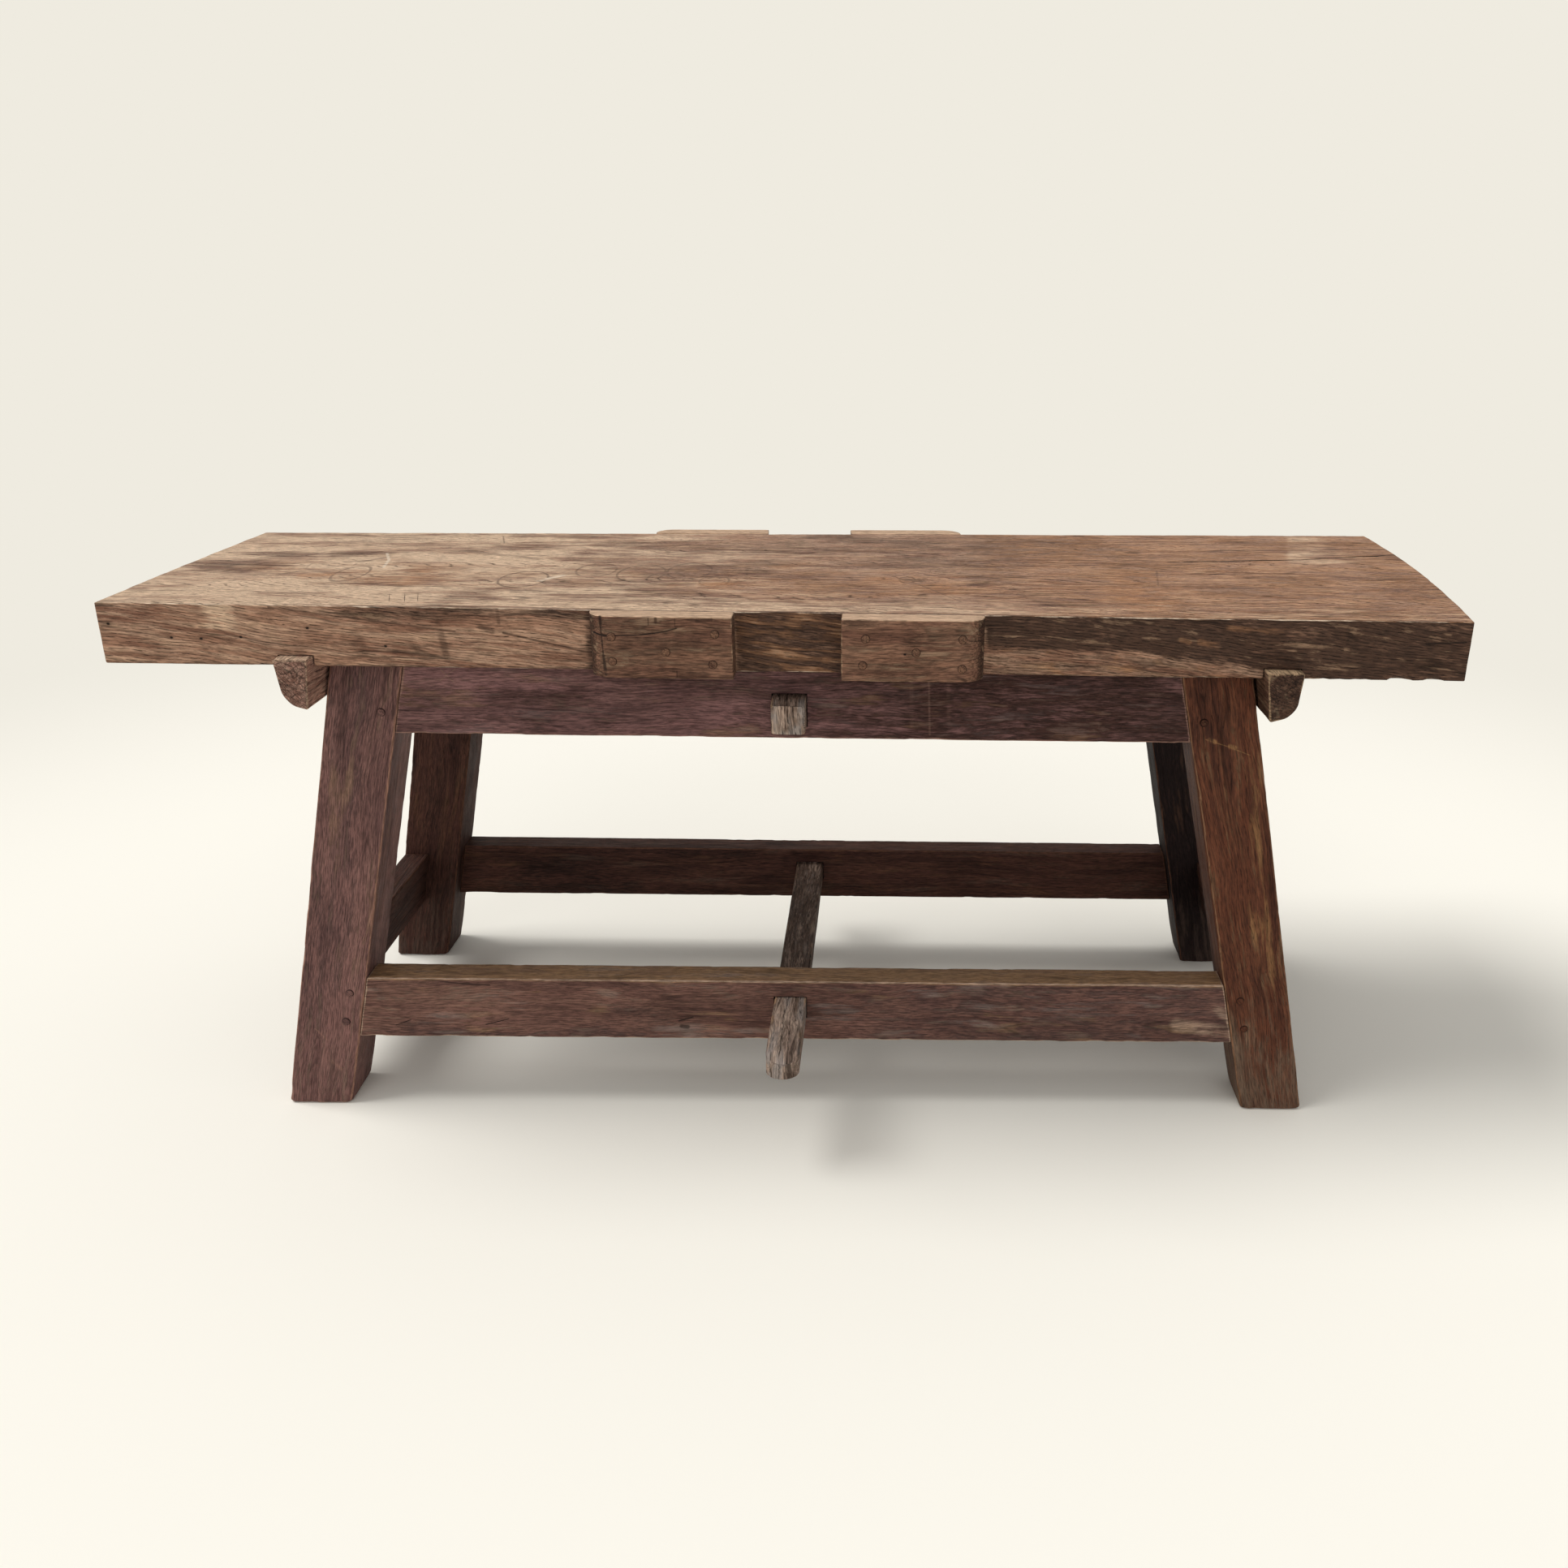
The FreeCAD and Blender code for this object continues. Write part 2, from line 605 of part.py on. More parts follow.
doc.recompute()
for item in doc.Objects:
    if "Invalid" in item.State or "Error" in item.State:
        raise RuntimeError(f"{item.Name} failed: {item.State}")
os.makedirs("parts", exist_ok=True)
for node in nodes:
    if node.Shape.isNull() or not node.Shape.isValid():
        raise RuntimeError(f"{node.Name} has no sound shape")
for node in nodes:
    node.Label = node.Name
    node.Shape.exportStep(f"parts/{node.Label}.step")
    limits = node.Shape.BoundBox
    print(f"{node.Label:26s} solids {len(node.Shape.Solids)} volume {node.Shape.Volume / 1e6:8.4f} l "
          f"x {limits.XMin:7.1f} {limits.XMax:7.1f} y {limits.YMin:7.1f} {limits.YMax:7.1f} "
          f"z {limits.ZMin:6.1f} {limits.ZMax:6.1f}")
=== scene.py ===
import functools
import itertools
import math

import bpy
import numpy as np
from mathutils import Matrix, Vector


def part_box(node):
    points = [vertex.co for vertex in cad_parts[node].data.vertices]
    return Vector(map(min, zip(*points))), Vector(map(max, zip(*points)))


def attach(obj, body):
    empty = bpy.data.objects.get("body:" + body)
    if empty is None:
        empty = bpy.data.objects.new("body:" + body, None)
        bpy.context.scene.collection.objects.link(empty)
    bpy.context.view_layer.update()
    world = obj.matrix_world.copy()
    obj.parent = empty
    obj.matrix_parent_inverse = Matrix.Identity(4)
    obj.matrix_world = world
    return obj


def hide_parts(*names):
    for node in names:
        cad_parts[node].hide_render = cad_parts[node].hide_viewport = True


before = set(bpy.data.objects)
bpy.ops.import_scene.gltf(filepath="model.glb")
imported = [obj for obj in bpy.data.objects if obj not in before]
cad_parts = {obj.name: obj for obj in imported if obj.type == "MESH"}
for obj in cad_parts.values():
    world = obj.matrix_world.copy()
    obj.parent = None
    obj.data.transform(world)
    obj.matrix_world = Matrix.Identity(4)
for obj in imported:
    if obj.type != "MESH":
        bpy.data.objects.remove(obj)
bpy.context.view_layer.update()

# The studio: the camera stands in front of the table, a little right of its middle and well above
# the top, with a moderately wide lens. A pale paper floor, a white sky and two very soft lamps light it.
CAMERA_PLACE = (0.1091, -2.0602, 1.2433)
CAMERA_YAW = 0.02208
CAMERA_PITCH = 0.36471
CAMERA_ROLL = 0.01991
SENSOR_WIDTH = 36.0
FOCAL_SHARE = 1667.9 / 1932
SIDE_SHIFT = -165.5 / 1932
PAPER = "#EFEBE0"
NEAR_PAPER = "#FCF8ED"
NEAR_REACH = 1.5
FAR_REACH = 3.4
FLOOR_REACH = 60.0
SKY_LEVEL = 0.44
KEY_LEVEL = 1.98
KEY_SPREAD = 32.0
FILL_LEVEL = 0.95
FILL_SPREAD = 60.0


def to_linear(hex_colour):
    """An sRGB hex colour as linear light, with full opacity."""
    parts = [int(hex_colour[i:i + 2], 16) / 255 for i in (1, 3, 5)]
    return tuple(c / 12.92 if c <= 0.04045 else ((c + 0.055) / 1.055) ** 2.4 for c in parts) + (1.0,)


def empty_tree(holder):
    """The cleared node tree of a material or world."""
    holder.use_nodes = True
    holder.node_tree.nodes.clear()
    return holder.node_tree


def put(tree, kind, values=(), out=0, **settings):
    """Adds one shader node and gives one of its outputs. kind may name the node's operation after a dot,
    and values are set or linked in order, or by the name or number of the input."""
    kind, _, operation = kind.partition(".")
    node = tree.nodes.new("ShaderNode" + kind)
    if operation:
        node.operation = operation
    for name, value in settings.items():
        setattr(node, name, value)
    for key, value in values.items() if isinstance(values, dict) else enumerate(values):
        if isinstance(value, bpy.types.NodeSocket):
            tree.links.new(value, node.inputs[key])
        else:
            node.inputs[key].default_value = value
    return node.outputs[out] if len(node.outputs) else node


def stand(name, data):
    """A new object in the scene."""
    thing = bpy.data.objects.new(name, data)
    bpy.context.scene.collection.objects.link(thing)
    return thing


def aim(yaw, pitch, roll):
    """The turn of a camera that looks along +Y, swung right by yaw, down by pitch and rolled."""
    forward = Vector((math.sin(yaw) * math.cos(pitch), math.cos(yaw) * math.cos(pitch), -math.sin(pitch)))
    right = Vector((math.cos(yaw), -math.sin(yaw), 0))
    up = right.cross(forward)
    side = right * math.cos(roll) + up * math.sin(roll)
    top = up * math.cos(roll) - right * math.sin(roll)
    return Matrix((side, top, -forward)).transposed()


camera_data = bpy.data.cameras.new("photo_camera")
camera_data.sensor_width = SENSOR_WIDTH
camera_data.lens = SENSOR_WIDTH * FOCAL_SHARE
camera_data.shift_x = SIDE_SHIFT
camera = stand("photo_camera", camera_data)
camera.matrix_world = Matrix.Translation(CAMERA_PLACE) @ aim(CAMERA_YAW, CAMERA_PITCH, CAMERA_ROLL).to_4x4()
bpy.context.scene.camera = camera
bpy.context.scene.view_settings.view_transform = "Standard"

for name, level, spread, towards in (("key_lamp", KEY_LEVEL, KEY_SPREAD, (0.66, -0.05, -1.0)),
                                     ("fill_lamp", FILL_LEVEL, FILL_SPREAD, (0.03, 1.0, -0.22))):
    lamp_data = bpy.data.lights.new(name, "SUN")
    lamp_data.energy = level
    lamp_data.angle = math.radians(spread)
    lamp = stand(name, lamp_data)
    lamp.rotation_mode = "QUATERNION"
    lamp.rotation_quaternion = Vector(towards).to_track_quat("-Z", "Y")


def looked_at(tree):
    """1 for the rays that show the backdrop: straight, or by way of a glossy or clear face."""
    straight, glossy, clear = [put(tree, "LightPath", out=f"Is {kind} Ray")
                               for kind in ("Camera", "Glossy", "Transmission")]
    return put(tree, "Math.MAXIMUM", [put(tree, "Math.MAXIMUM", [straight, glossy]), clear])


sky = bpy.data.worlds.new("studio_sky")
tree = empty_tree(sky)
lit = put(tree, "Background", [(1.0, 1.0, 1.0, 1.0), SKY_LEVEL])
paper_glow = put(tree, "Background", [to_linear(PAPER), 1.0])
put(tree, "OutputWorld", [put(tree, "MixShader", [looked_at(tree), lit, paper_glow])])
bpy.context.scene.world = sky

# Matt paper: it has no gloss at all, so only the soft shadows show on it. Far from the table it turns
# into the sky's own colour, so no horizon shows.
backdrop_paper = bpy.data.materials.new("backdrop_paper")
tree = empty_tree(backdrop_paper)
far_off = put(tree, "VectorMath.LENGTH", [put(tree, "NewGeometry", out="Position")], out="Value")
far_off = put(tree, "MapRange", [far_off, NEAR_REACH, FAR_REACH], interpolation_type="SMOOTHSTEP")
far_off = put(tree, "Math.MULTIPLY", [far_off, looked_at(tree)])
near_paper = put(tree, "BsdfDiffuse", [to_linear(NEAR_PAPER), 0.0])
far_paper = put(tree, "Emission", [to_linear(PAPER), 1.0])
put(tree, "OutputMaterial", [put(tree, "MixShader", [far_off, near_paper, far_paper])])
floor_mesh = bpy.data.meshes.new("paper_floor")
floor_corners = [(x * FLOOR_REACH, y * FLOOR_REACH, 0) for x, y in ((-1, -1), (1, -1), (1, 1), (-1, 1))]
floor_mesh.from_pydata(floor_corners, [], [(0, 1, 2, 3)])
floor_mesh.materials.append(backdrop_paper)
stand("paper_floor", floor_mesh)

# The four legs are sawn oak posts, planed long ago, that spread to the sides and a little to the front
# and rear. Mortises on their inner sides take the rails. Age has rounded the arrises and greyed the feet.
SIDES = ((-1, "left"), (1, "right"))
ROWS = ((-1, "front"), (1, "rear"))
BASE_X = -0.029
BASE_Y = 0.048
LEG_HEIGHT = 0.714
LEG_FOOT_X = (0.799, 0.701)
LEG_TOP_X = (0.655, 0.551)
LEG_FOOT_Y = (0.289, 0.200)
LEG_TOP_Y = (0.250, 0.161)
LEG_WIDTH = 0.101
LEG_DEPTH = 0.089
LEG_CHAMFER = 0.0055
MORTISE_DEPTH = 0.0555
MORTISE_PLAY = 0.0003
MORTISE_ROOM = 0.0015
TENON_WALL = 0.016
TENON_THICKNESS = 0.016
TENON_EDGE = 0.010
APRON_FLOOR = 0.603
APRON_HEIGHT = 0.108
STRETCHER_FLOOR = 0.117
STRETCHER_HEIGHT = 0.100
EDGE_LINES = (0.0, 0.0007, 0.0016, 0.0028, 0.0044, 0.0066)
CUT_LINES = (-0.0022, -0.0007, 0.0, 0.0007, 0.0022)


def chance(seed, *places):
    """Smooth repeatable noise from 0 to 1. Each place is a coordinate counted in noise cells."""
    places = np.broadcast_arrays(*[np.asarray(p, float) for p in places])
    cells = [np.floor(p).astype(np.int64) for p in places]
    shares = [(p - c) ** 2 * (3 - 2 * (p - c)) for p, c in zip(places, cells)]
    total = 0.0
    for corner in itertools.product((0, 1), repeat=len(places)):
        key = np.full(places[0].shape, seed * 1013 + 77, np.uint64)
        weight = 1.0
        for step, cell, share in zip(corner, cells, shares):
            key = (key ^ (cell + step + 4096).astype(np.uint64)) * np.uint64(2654435761) + np.uint64(40503)
            key = key ^ (key >> np.uint64(17))
            weight = weight * (share if step else 1 - share)
        total = total + weight * ((key >> np.uint64(9)) & np.uint64(65535)).astype(float) / 65535
    return total


def rough(seed, *places):
    """Three sizes of the same noise added up, from 0 to 1."""
    return sum(chance(seed + n, *[np.asarray(p, float) * 2 ** n for p in places]) * w
               for n, w in enumerate((0.57, 0.28, 0.15)))


def rise(value, low, high):
    """0 below low, 1 above high, and a smooth rise between them."""
    share = np.clip((value - low) / (high - low), 0, 1)
    return share * share * (3 - 2 * share)


def band(value, low, full, fading, gone):
    """1 between full and fading, with a smooth rise from low to full and a fall from fading to gone."""
    return rise(value, low, full) * (1 - rise(value, fading, gone))


def lines_along(length, step, edges):
    """Places of the lattice lines along one direction: even between, close at both arrises and beside each
    edge of a tenon or cut, with a few more out to edges that lie beyond the two shoulders."""
    fixed = {round(e, 5) for line in EDGE_LINES for e in (line, length - line)}
    fixed |= {round(e + d, 5) for e in edges if 1e-6 < e < length - 1e-6 for d in CUT_LINES}
    for shoulder, reach in ((0, min(edges)), (length, max(edges) - length)):
        if abs(reach) > 1e-9 and (reach < 0) == (shoulder == 0):
            fixed |= {round(shoulder + reach * share, 5) for share in (0.03, 0.35, 0.7, 1.0)}
    fixed = np.array(sorted(fixed))
    even = np.linspace(0, length, max(2, round(length / step)) + 1)
    return np.array(sorted([*fixed, *(e for e in even if np.abs(fixed - e).min() > step * 0.4)]))


def faces_of(filled):
    """The quads round the filled cells of a lattice, as lattice points, wound outwards."""
    padded = np.pad(filled.astype(np.int8), 1)
    quads = []
    for axis in range(3):
        rest = [slice(1, -1)] * 3
        rest[axis] = slice(None)
        change = np.diff(padded, axis=axis)[tuple(rest)]
        ring = np.zeros((4, 3), int)
        ring[:, (axis + 1) % 3] = (0, 1, 1, 0)
        ring[:, (axis + 2) % 3] = (0, 0, 1, 1)
        quads += [np.argwhere(change == sign)[:, None] + ring[::-sign] for sign in (-1, 1)]
    return np.concatenate(quads)


def place_in(corners, shares):
    """Points inside eight corners, from their shares along, across and up."""
    place = np.asarray(corners, float).reshape(1, 2, 2, 2, 3)
    for share in shares.T:
        share = share.reshape(-1, *[1] * (place.ndim - 2))
        place = place[:, 0] * (1 - share) + place[:, 1] * share
    return place


def open_shake(at, point, lines, side, path, width, depth, seed):
    """Opens a shake in one face: the lattice line nearest to the path is led along it and pushed in.
    side is the axis and end of the face, path the places along and across. Gives how deep each point is."""
    axis, end = side
    across = 3 - axis
    along, over = np.array(path, float).T
    on_face = point[:, axis] == (len(lines[axis]) - 1 if end else 0)
    row = int(np.abs(lines[across] - over.mean()).argmin())
    u, line = at[:, 0], lines[across][row]
    course = np.interp(u, along, over) + (chance(seed, u / 0.021) - 0.5) * 0.0022
    inside = band(u, along[0], along[0] + 0.05, along[-1] - 0.05, along[-1])
    near = band(u, along[0] - 0.12, along[0], along[-1], along[-1] + 0.12)
    reach = max(0.03, 2.5 * np.abs(over - line).max())
    low = max(line - reach, lines[across][0] + 0.004)
    high = min(line + reach, lines[across][-1] - 0.004)
    hold = np.interp(lines[across][point[:, across]], [low, line, high], [0, 1, 0])
    moved = at[:, across] + np.where(on_face, (course - line) * hold * near, 0)
    opening = width / 2 * (0.55 + 0.9 * chance(seed + 1, u / 0.035))
    for offset in (-1, 1):
        lip = on_face & (point[:, across] == row + offset)
        moved[lip] = (moved * (1 - inside) + (course + offset * opening) * inside)[lip]
    at[:, across] = moved
    groove = np.where(on_face & (point[:, across] == row), inside, 0)
    at[:, axis] += (-1 if end else 1) * depth * groove * (0.6 + 0.4 * chance(seed + 2, u / 0.05))
    return groove


def grain_at(seed, along, over, through):
    """The grain coordinates of a place in the piece with this seed, so that no two pieces look alike."""
    return (along + seed * 1.37, over + seed * 0.71, through + seed * 0.39)


def dress(node, body, material, points, faces, grain, state, marks, crease):
    """Makes a piece of its body that replaces a CAD node. Its material reads the grain coordinates, the
    state (wear, open checks, sawn end) and the marks (patina and painted shade, bare wood, bloom and painted
    light) of each point."""
    mesh = bpy.data.meshes.new(node + "_oak")
    mesh.from_pydata(points.tolist(), [], faces)
    mesh.attributes.new("grain", "FLOAT_VECTOR", "POINT").data.foreach_set("vector", grain.ravel())
    for layer, values in (("state", state), ("marks", np.clip(marks, 0, 1))):
        values = np.column_stack([values, np.ones(len(points))])
        mesh.attributes.new(layer, "FLOAT_COLOR", "POINT").data.foreach_set("color", values.ravel())
    mesh.polygons.foreach_set("use_smooth", np.ones(len(faces), bool))
    mesh.set_sharp_from_angle(angle=math.radians(crease))
    mesh.materials.append(material)
    piece = stand(node + "_oak", mesh)
    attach(piece, body)
    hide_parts(node)


def timber(node, body, material, corners, size, step, seed, paint, solids=None, cuts=(), arris=0.0022,
           end_arris=0.0014, chips=0.003, wave=0.0007, shakes=(), bend=None, sawn=None, rounded=(),
           worn=(1, 1, 1, 1), grain_order=(0, 1, 2), grain_slope=0.0, tip_order=None):
    """One aged piece of wood as a closed mesh inside the eight corners of its CAD solid. size is along,
    across and through in metres, and step the room between lattice lines; solids and cuts are boxes for
    tenons and slots. arris rounds the four long arrises and chips is how much is broken off them here and
    there; worn is how pale each is rubbed. rounded lists corners of the section with a wide curve and its
    two radii, and shakes what open_shake takes. paint(points, at) gives the marks, bend moves the finished
    points, and sawn tells sawn ends that aren't at the two ends. grain_order is the order of the directions
    in the grain, and tip_order that of the end faces."""
    lines = [lines_along(total, step[axis], {e for box in [*(solids or []), *cuts] for e in box[axis]} | {0})
             for axis, total in enumerate(size)]
    filled = np.zeros([len(line) - 1 for line in lines], bool)
    for boxes, kept in ((solids or [[(0, total) for total in size]], True), (cuts, False)):
        for box in boxes:
            middles = [(line[1:] + line[:-1]) / 2 for line in lines]
            filled[np.ix_(*[(m > low) & (m < high) for m, (low, high) in zip(middles, box)])] = kept
    quads = faces_of(filled)
    counts = [len(line) for line in lines]
    used, numbers = np.unique(np.ravel_multi_index(np.moveaxis(quads, -1, 0), counts), return_inverse=True)
    point = np.stack(np.unravel_index(used, counts), 1)
    at = np.stack([lines[axis][point[:, axis]] for axis in range(3)], 1)
    flat = at.copy()
    size = np.array(size)
    half = size[1:] / 2
    inwards = np.minimum(flat, size - flat)
    check = np.zeros(len(at))
    for number, shake in enumerate(shakes):
        check = np.maximum(check, open_shake(at, point, lines, *shake, seed + 40 + number))
    between_shoulders = inwards[:, 0] >= -1e-6
    u = at[:, 0]
    mid = at[:, 1:] - half
    level = np.abs(flat[:, 1:] / half - 1).max(axis=1)
    corner = (mid[:, 0] > 0) * 1 + (mid[:, 1] > 0) * 2

    def by_corner(value):
        """The value at each point's own long arris, which may change along the piece."""
        return value(u)[np.arange(len(u)), corner] if callable(value) else np.broadcast_to(value, 4)[corner]

    # A long arris changes every 50 mm or so, with a loss every 28 mm and small nicks of 11 mm.
    broken = rise(rough(seed + 2, u / 0.028, corner * 5.1), 0.58, 0.72)
    fine = rise(chance(seed + 3, u / 0.011, corner * 3.7), 0.45, 0.9)
    radius = by_corner(arris) * (0.6 + 0.8 * rough(seed + 1, u / 0.05, corner * 7.3))
    radius = radius + by_corner(chips) * (broken + 0.25 * fine)
    turn = np.minimum(radius, half.min() * 0.9) * level
    limit = half * level[:, None] - turn[:, None]
    core = np.clip(mid, -limit, limit)
    far = np.linalg.norm(mid - core, axis=1)
    pull = np.where(far > turn, turn / np.maximum(far, 1e-9), 1)
    mid = np.where(between_shoulders[:, None], core + (mid - core) * pull[:, None], mid)
    for end, round_end in enumerate(np.broadcast_to(end_arris, 2)):
        gap = size[0] - flat[:, 0] if end else flat[:, 0]
        ragged = round_end * (0.6 + 0.9 * rough(seed + 5 + end, *(mid.T / 0.018 + 40)))
        past_end = np.clip(ragged - gap, 0, None)
        past_side = np.clip(ragged - (1 - level) * half.min(), 0, None)
        far = np.hypot(past_end, past_side)
        pull = np.where((far > ragged) & (gap > -1e-6), ragged / np.maximum(far, 1e-9), 1)
        u = u + (1 - 2 * end) * past_end * (1 - pull)
        mid = mid * (1 - (past_side * (1 - pull))[:, None] / half)
    worn = np.array(worn, float)
    for side_v, side_w, *curve in rounded:
        beyond = (mid * (side_v, side_w) - (half - curve)) / curve
        inside = (beyond > 0).all(axis=1) & between_shoulders
        squeeze = beyond.max(axis=1) / np.maximum(np.linalg.norm(beyond, axis=1), 1e-9)
        curved = (half - curve + beyond * squeeze[:, None] * curve) * (side_v, side_w)
        mid = np.where(inside[:, None], curved, mid)
        worn[(side_v > 0) + 2 * (side_w > 0)] = 0
    at = np.column_stack([u, mid + half])
    # Planed faces are hollow here and there, in swells of 160 mm by 55 mm with 45 mm by 16 mm on them.
    for axis, end in itertools.product((1, 2), (0, 1)):
        gap = size[axis] - flat[:, axis] if end else flat[:, axis]
        held = np.clip(1 - gap / 0.012, 0, 1) * between_shoulders
        swell = rough(seed + 11 + axis * 2 + end, u / 0.16, at[:, 3 - axis] / 0.055 + 9)
        swell = swell + 0.35 * chance(seed + 21 + axis * 2 + end, u / 0.045, at[:, 3 - axis] / 0.016 + 9)
        at[:, axis] += (1 - 2 * end) * held * swell * wave
    world = place_in(corners, at / size)
    if bend:
        world = bend(world, at / size)
    edge_gap = np.sort(inwards, axis=1)[:, 1]
    wear = np.clip(1.15 - edge_gap / (np.minimum(radius, 0.005) * 0.6 + 0.0014), 0, 1) * worn[corner]
    ends = sawn(flat) if sawn else np.clip(1 - inwards[:, 0] / 0.0012, 0, 1) * between_shoulders
    for box in cuts:
        low, high = np.transpose(box)
        cut = np.all((flat > low - 1e-5) & (flat < high + 1e-5), axis=1)
        check = np.maximum(check, np.where(cut, rise(inwards.min(axis=1), -0.001, 0.003), 0))
    marks = paint(world, at)
    grain = at[:, list(grain_order)]
    if tip_order:
        grain = np.where(ends[:, None] > 0.5, at[:, list(tip_order)], grain)
        ends = ends * 0
    grain[:, 2] += grain_slope * grain[:, 0]
    mirrored = np.linalg.det(place_in(corners, np.eye(3)) - place_in(corners, np.zeros((1, 3)))) < 0
    numbers = numbers.reshape(quads.shape[:2])
    faces = (numbers[:, ::-1] if mirrored else numbers).tolist()
    dress(node, body, material, world, faces, grain + grain_at(seed, 0, 0, 0),
          np.column_stack([wear * between_shoulders, check, ends]), marks, 38)


def stroke_group():
    """A node group that lays one stroke over a share: along a short course, or round a ring. It is full
    up to 0.4 of its half width and gone at 1.3, and blotches break it up."""
    group = bpy.data.node_groups.new("stroke", "ShaderNodeTree")
    add = functools.partial(put, group)
    for kind, names in (("Vector", ("Place", "Start", "Course", "Per Length", "Stretch")),
                        ("Float", ("Under", "Blotch", "Radius", "Width", "Strength", "Broken"))):
        for name in names:
            group.interface.new_socket(name, in_out="INPUT", socket_type="NodeSocket" + kind)
    group.interface.new_socket("Share", in_out="OUTPUT", socket_type="NodeSocketFloat")
    given = group.nodes.new("NodeGroupInput").outputs
    gap = add("VectorMath.SUBTRACT", [given["Place"], given["Start"]])
    share = add("VectorMath.DOT_PRODUCT", [gap, given["Per Length"]], out="Value")
    share = add("Math.MULTIPLY", [share, 1.0], use_clamp=True)
    nearest = add("VectorMath.SCALE", {0: given["Course"], "Scale": share})
    gap = add("VectorMath.SUBTRACT", [gap, nearest])
    gap = add("VectorMath.MULTIPLY", [gap, given["Stretch"]])
    gap = add("VectorMath.LENGTH", [gap], out="Value")
    gap = add("Math.ABSOLUTE", [add("Math.SUBTRACT", [gap, given["Radius"]])])
    gap = add("Math.DIVIDE", [gap, given["Width"]])
    mark = add("MapRange", [gap, 0.4, 1.3, 1.0, 0.0], interpolation_type="SMOOTHSTEP")
    mark = add("Math.MULTIPLY", [mark, given["Strength"]])
    lost = add("Math.MULTIPLY_ADD", [given["Blotch"], -2.0, 1.0])
    lost = add("Math.MULTIPLY", [lost, given["Broken"]])
    mark = add("Math.MULTIPLY", [mark, add("Math.SUBTRACT", [1.0, lost], use_clamp=True)])
    mark = add("Math.MAXIMUM", [given["Under"], mark])
    group.links.new(mark, group.nodes.new("NodeGroupOutput").inputs["Share"])
    return group


stroke = stroke_group()


def strokes(place, *rows):
    """Strokes as starts and stops in grain coordinates, from rows of places that each stroke line runs
    through, with its half width in metres, its strength and how much of it is broken away."""
    return [(place(*start), place(*stop), width, strength, *(broken or [0.3]))
            for points, width, strength, *broken in rows for start, stop in zip(points, points[1:])]


def drawn(tree, place, blotch, under, marks):
    """Lays strokes over a share. Each has a start, then a stop or the two half sizes of a ring, a half
    width, a strength and how much of it is broken away."""
    for start, stop, width, strength, broken in marks:
        inputs = {"Place": place, "Start": start, "Blotch": blotch, "Under": under, "Width": width,
                  "Strength": strength, "Broken": broken}
        if len(stop) == 2:
            inputs.update({"Stretch": (1.0, stop[0] / stop[1], 0.0), "Radius": stop[0]})
        else:
            course = Vector(stop) - Vector(start)
            inputs.update({"Stretch": (1.0, 1.0, 1.0), "Course": course,
                           "Per Length": course / course.length_squared})
        under = put(tree, "Group", inputs, node_tree=stroke)
    return under


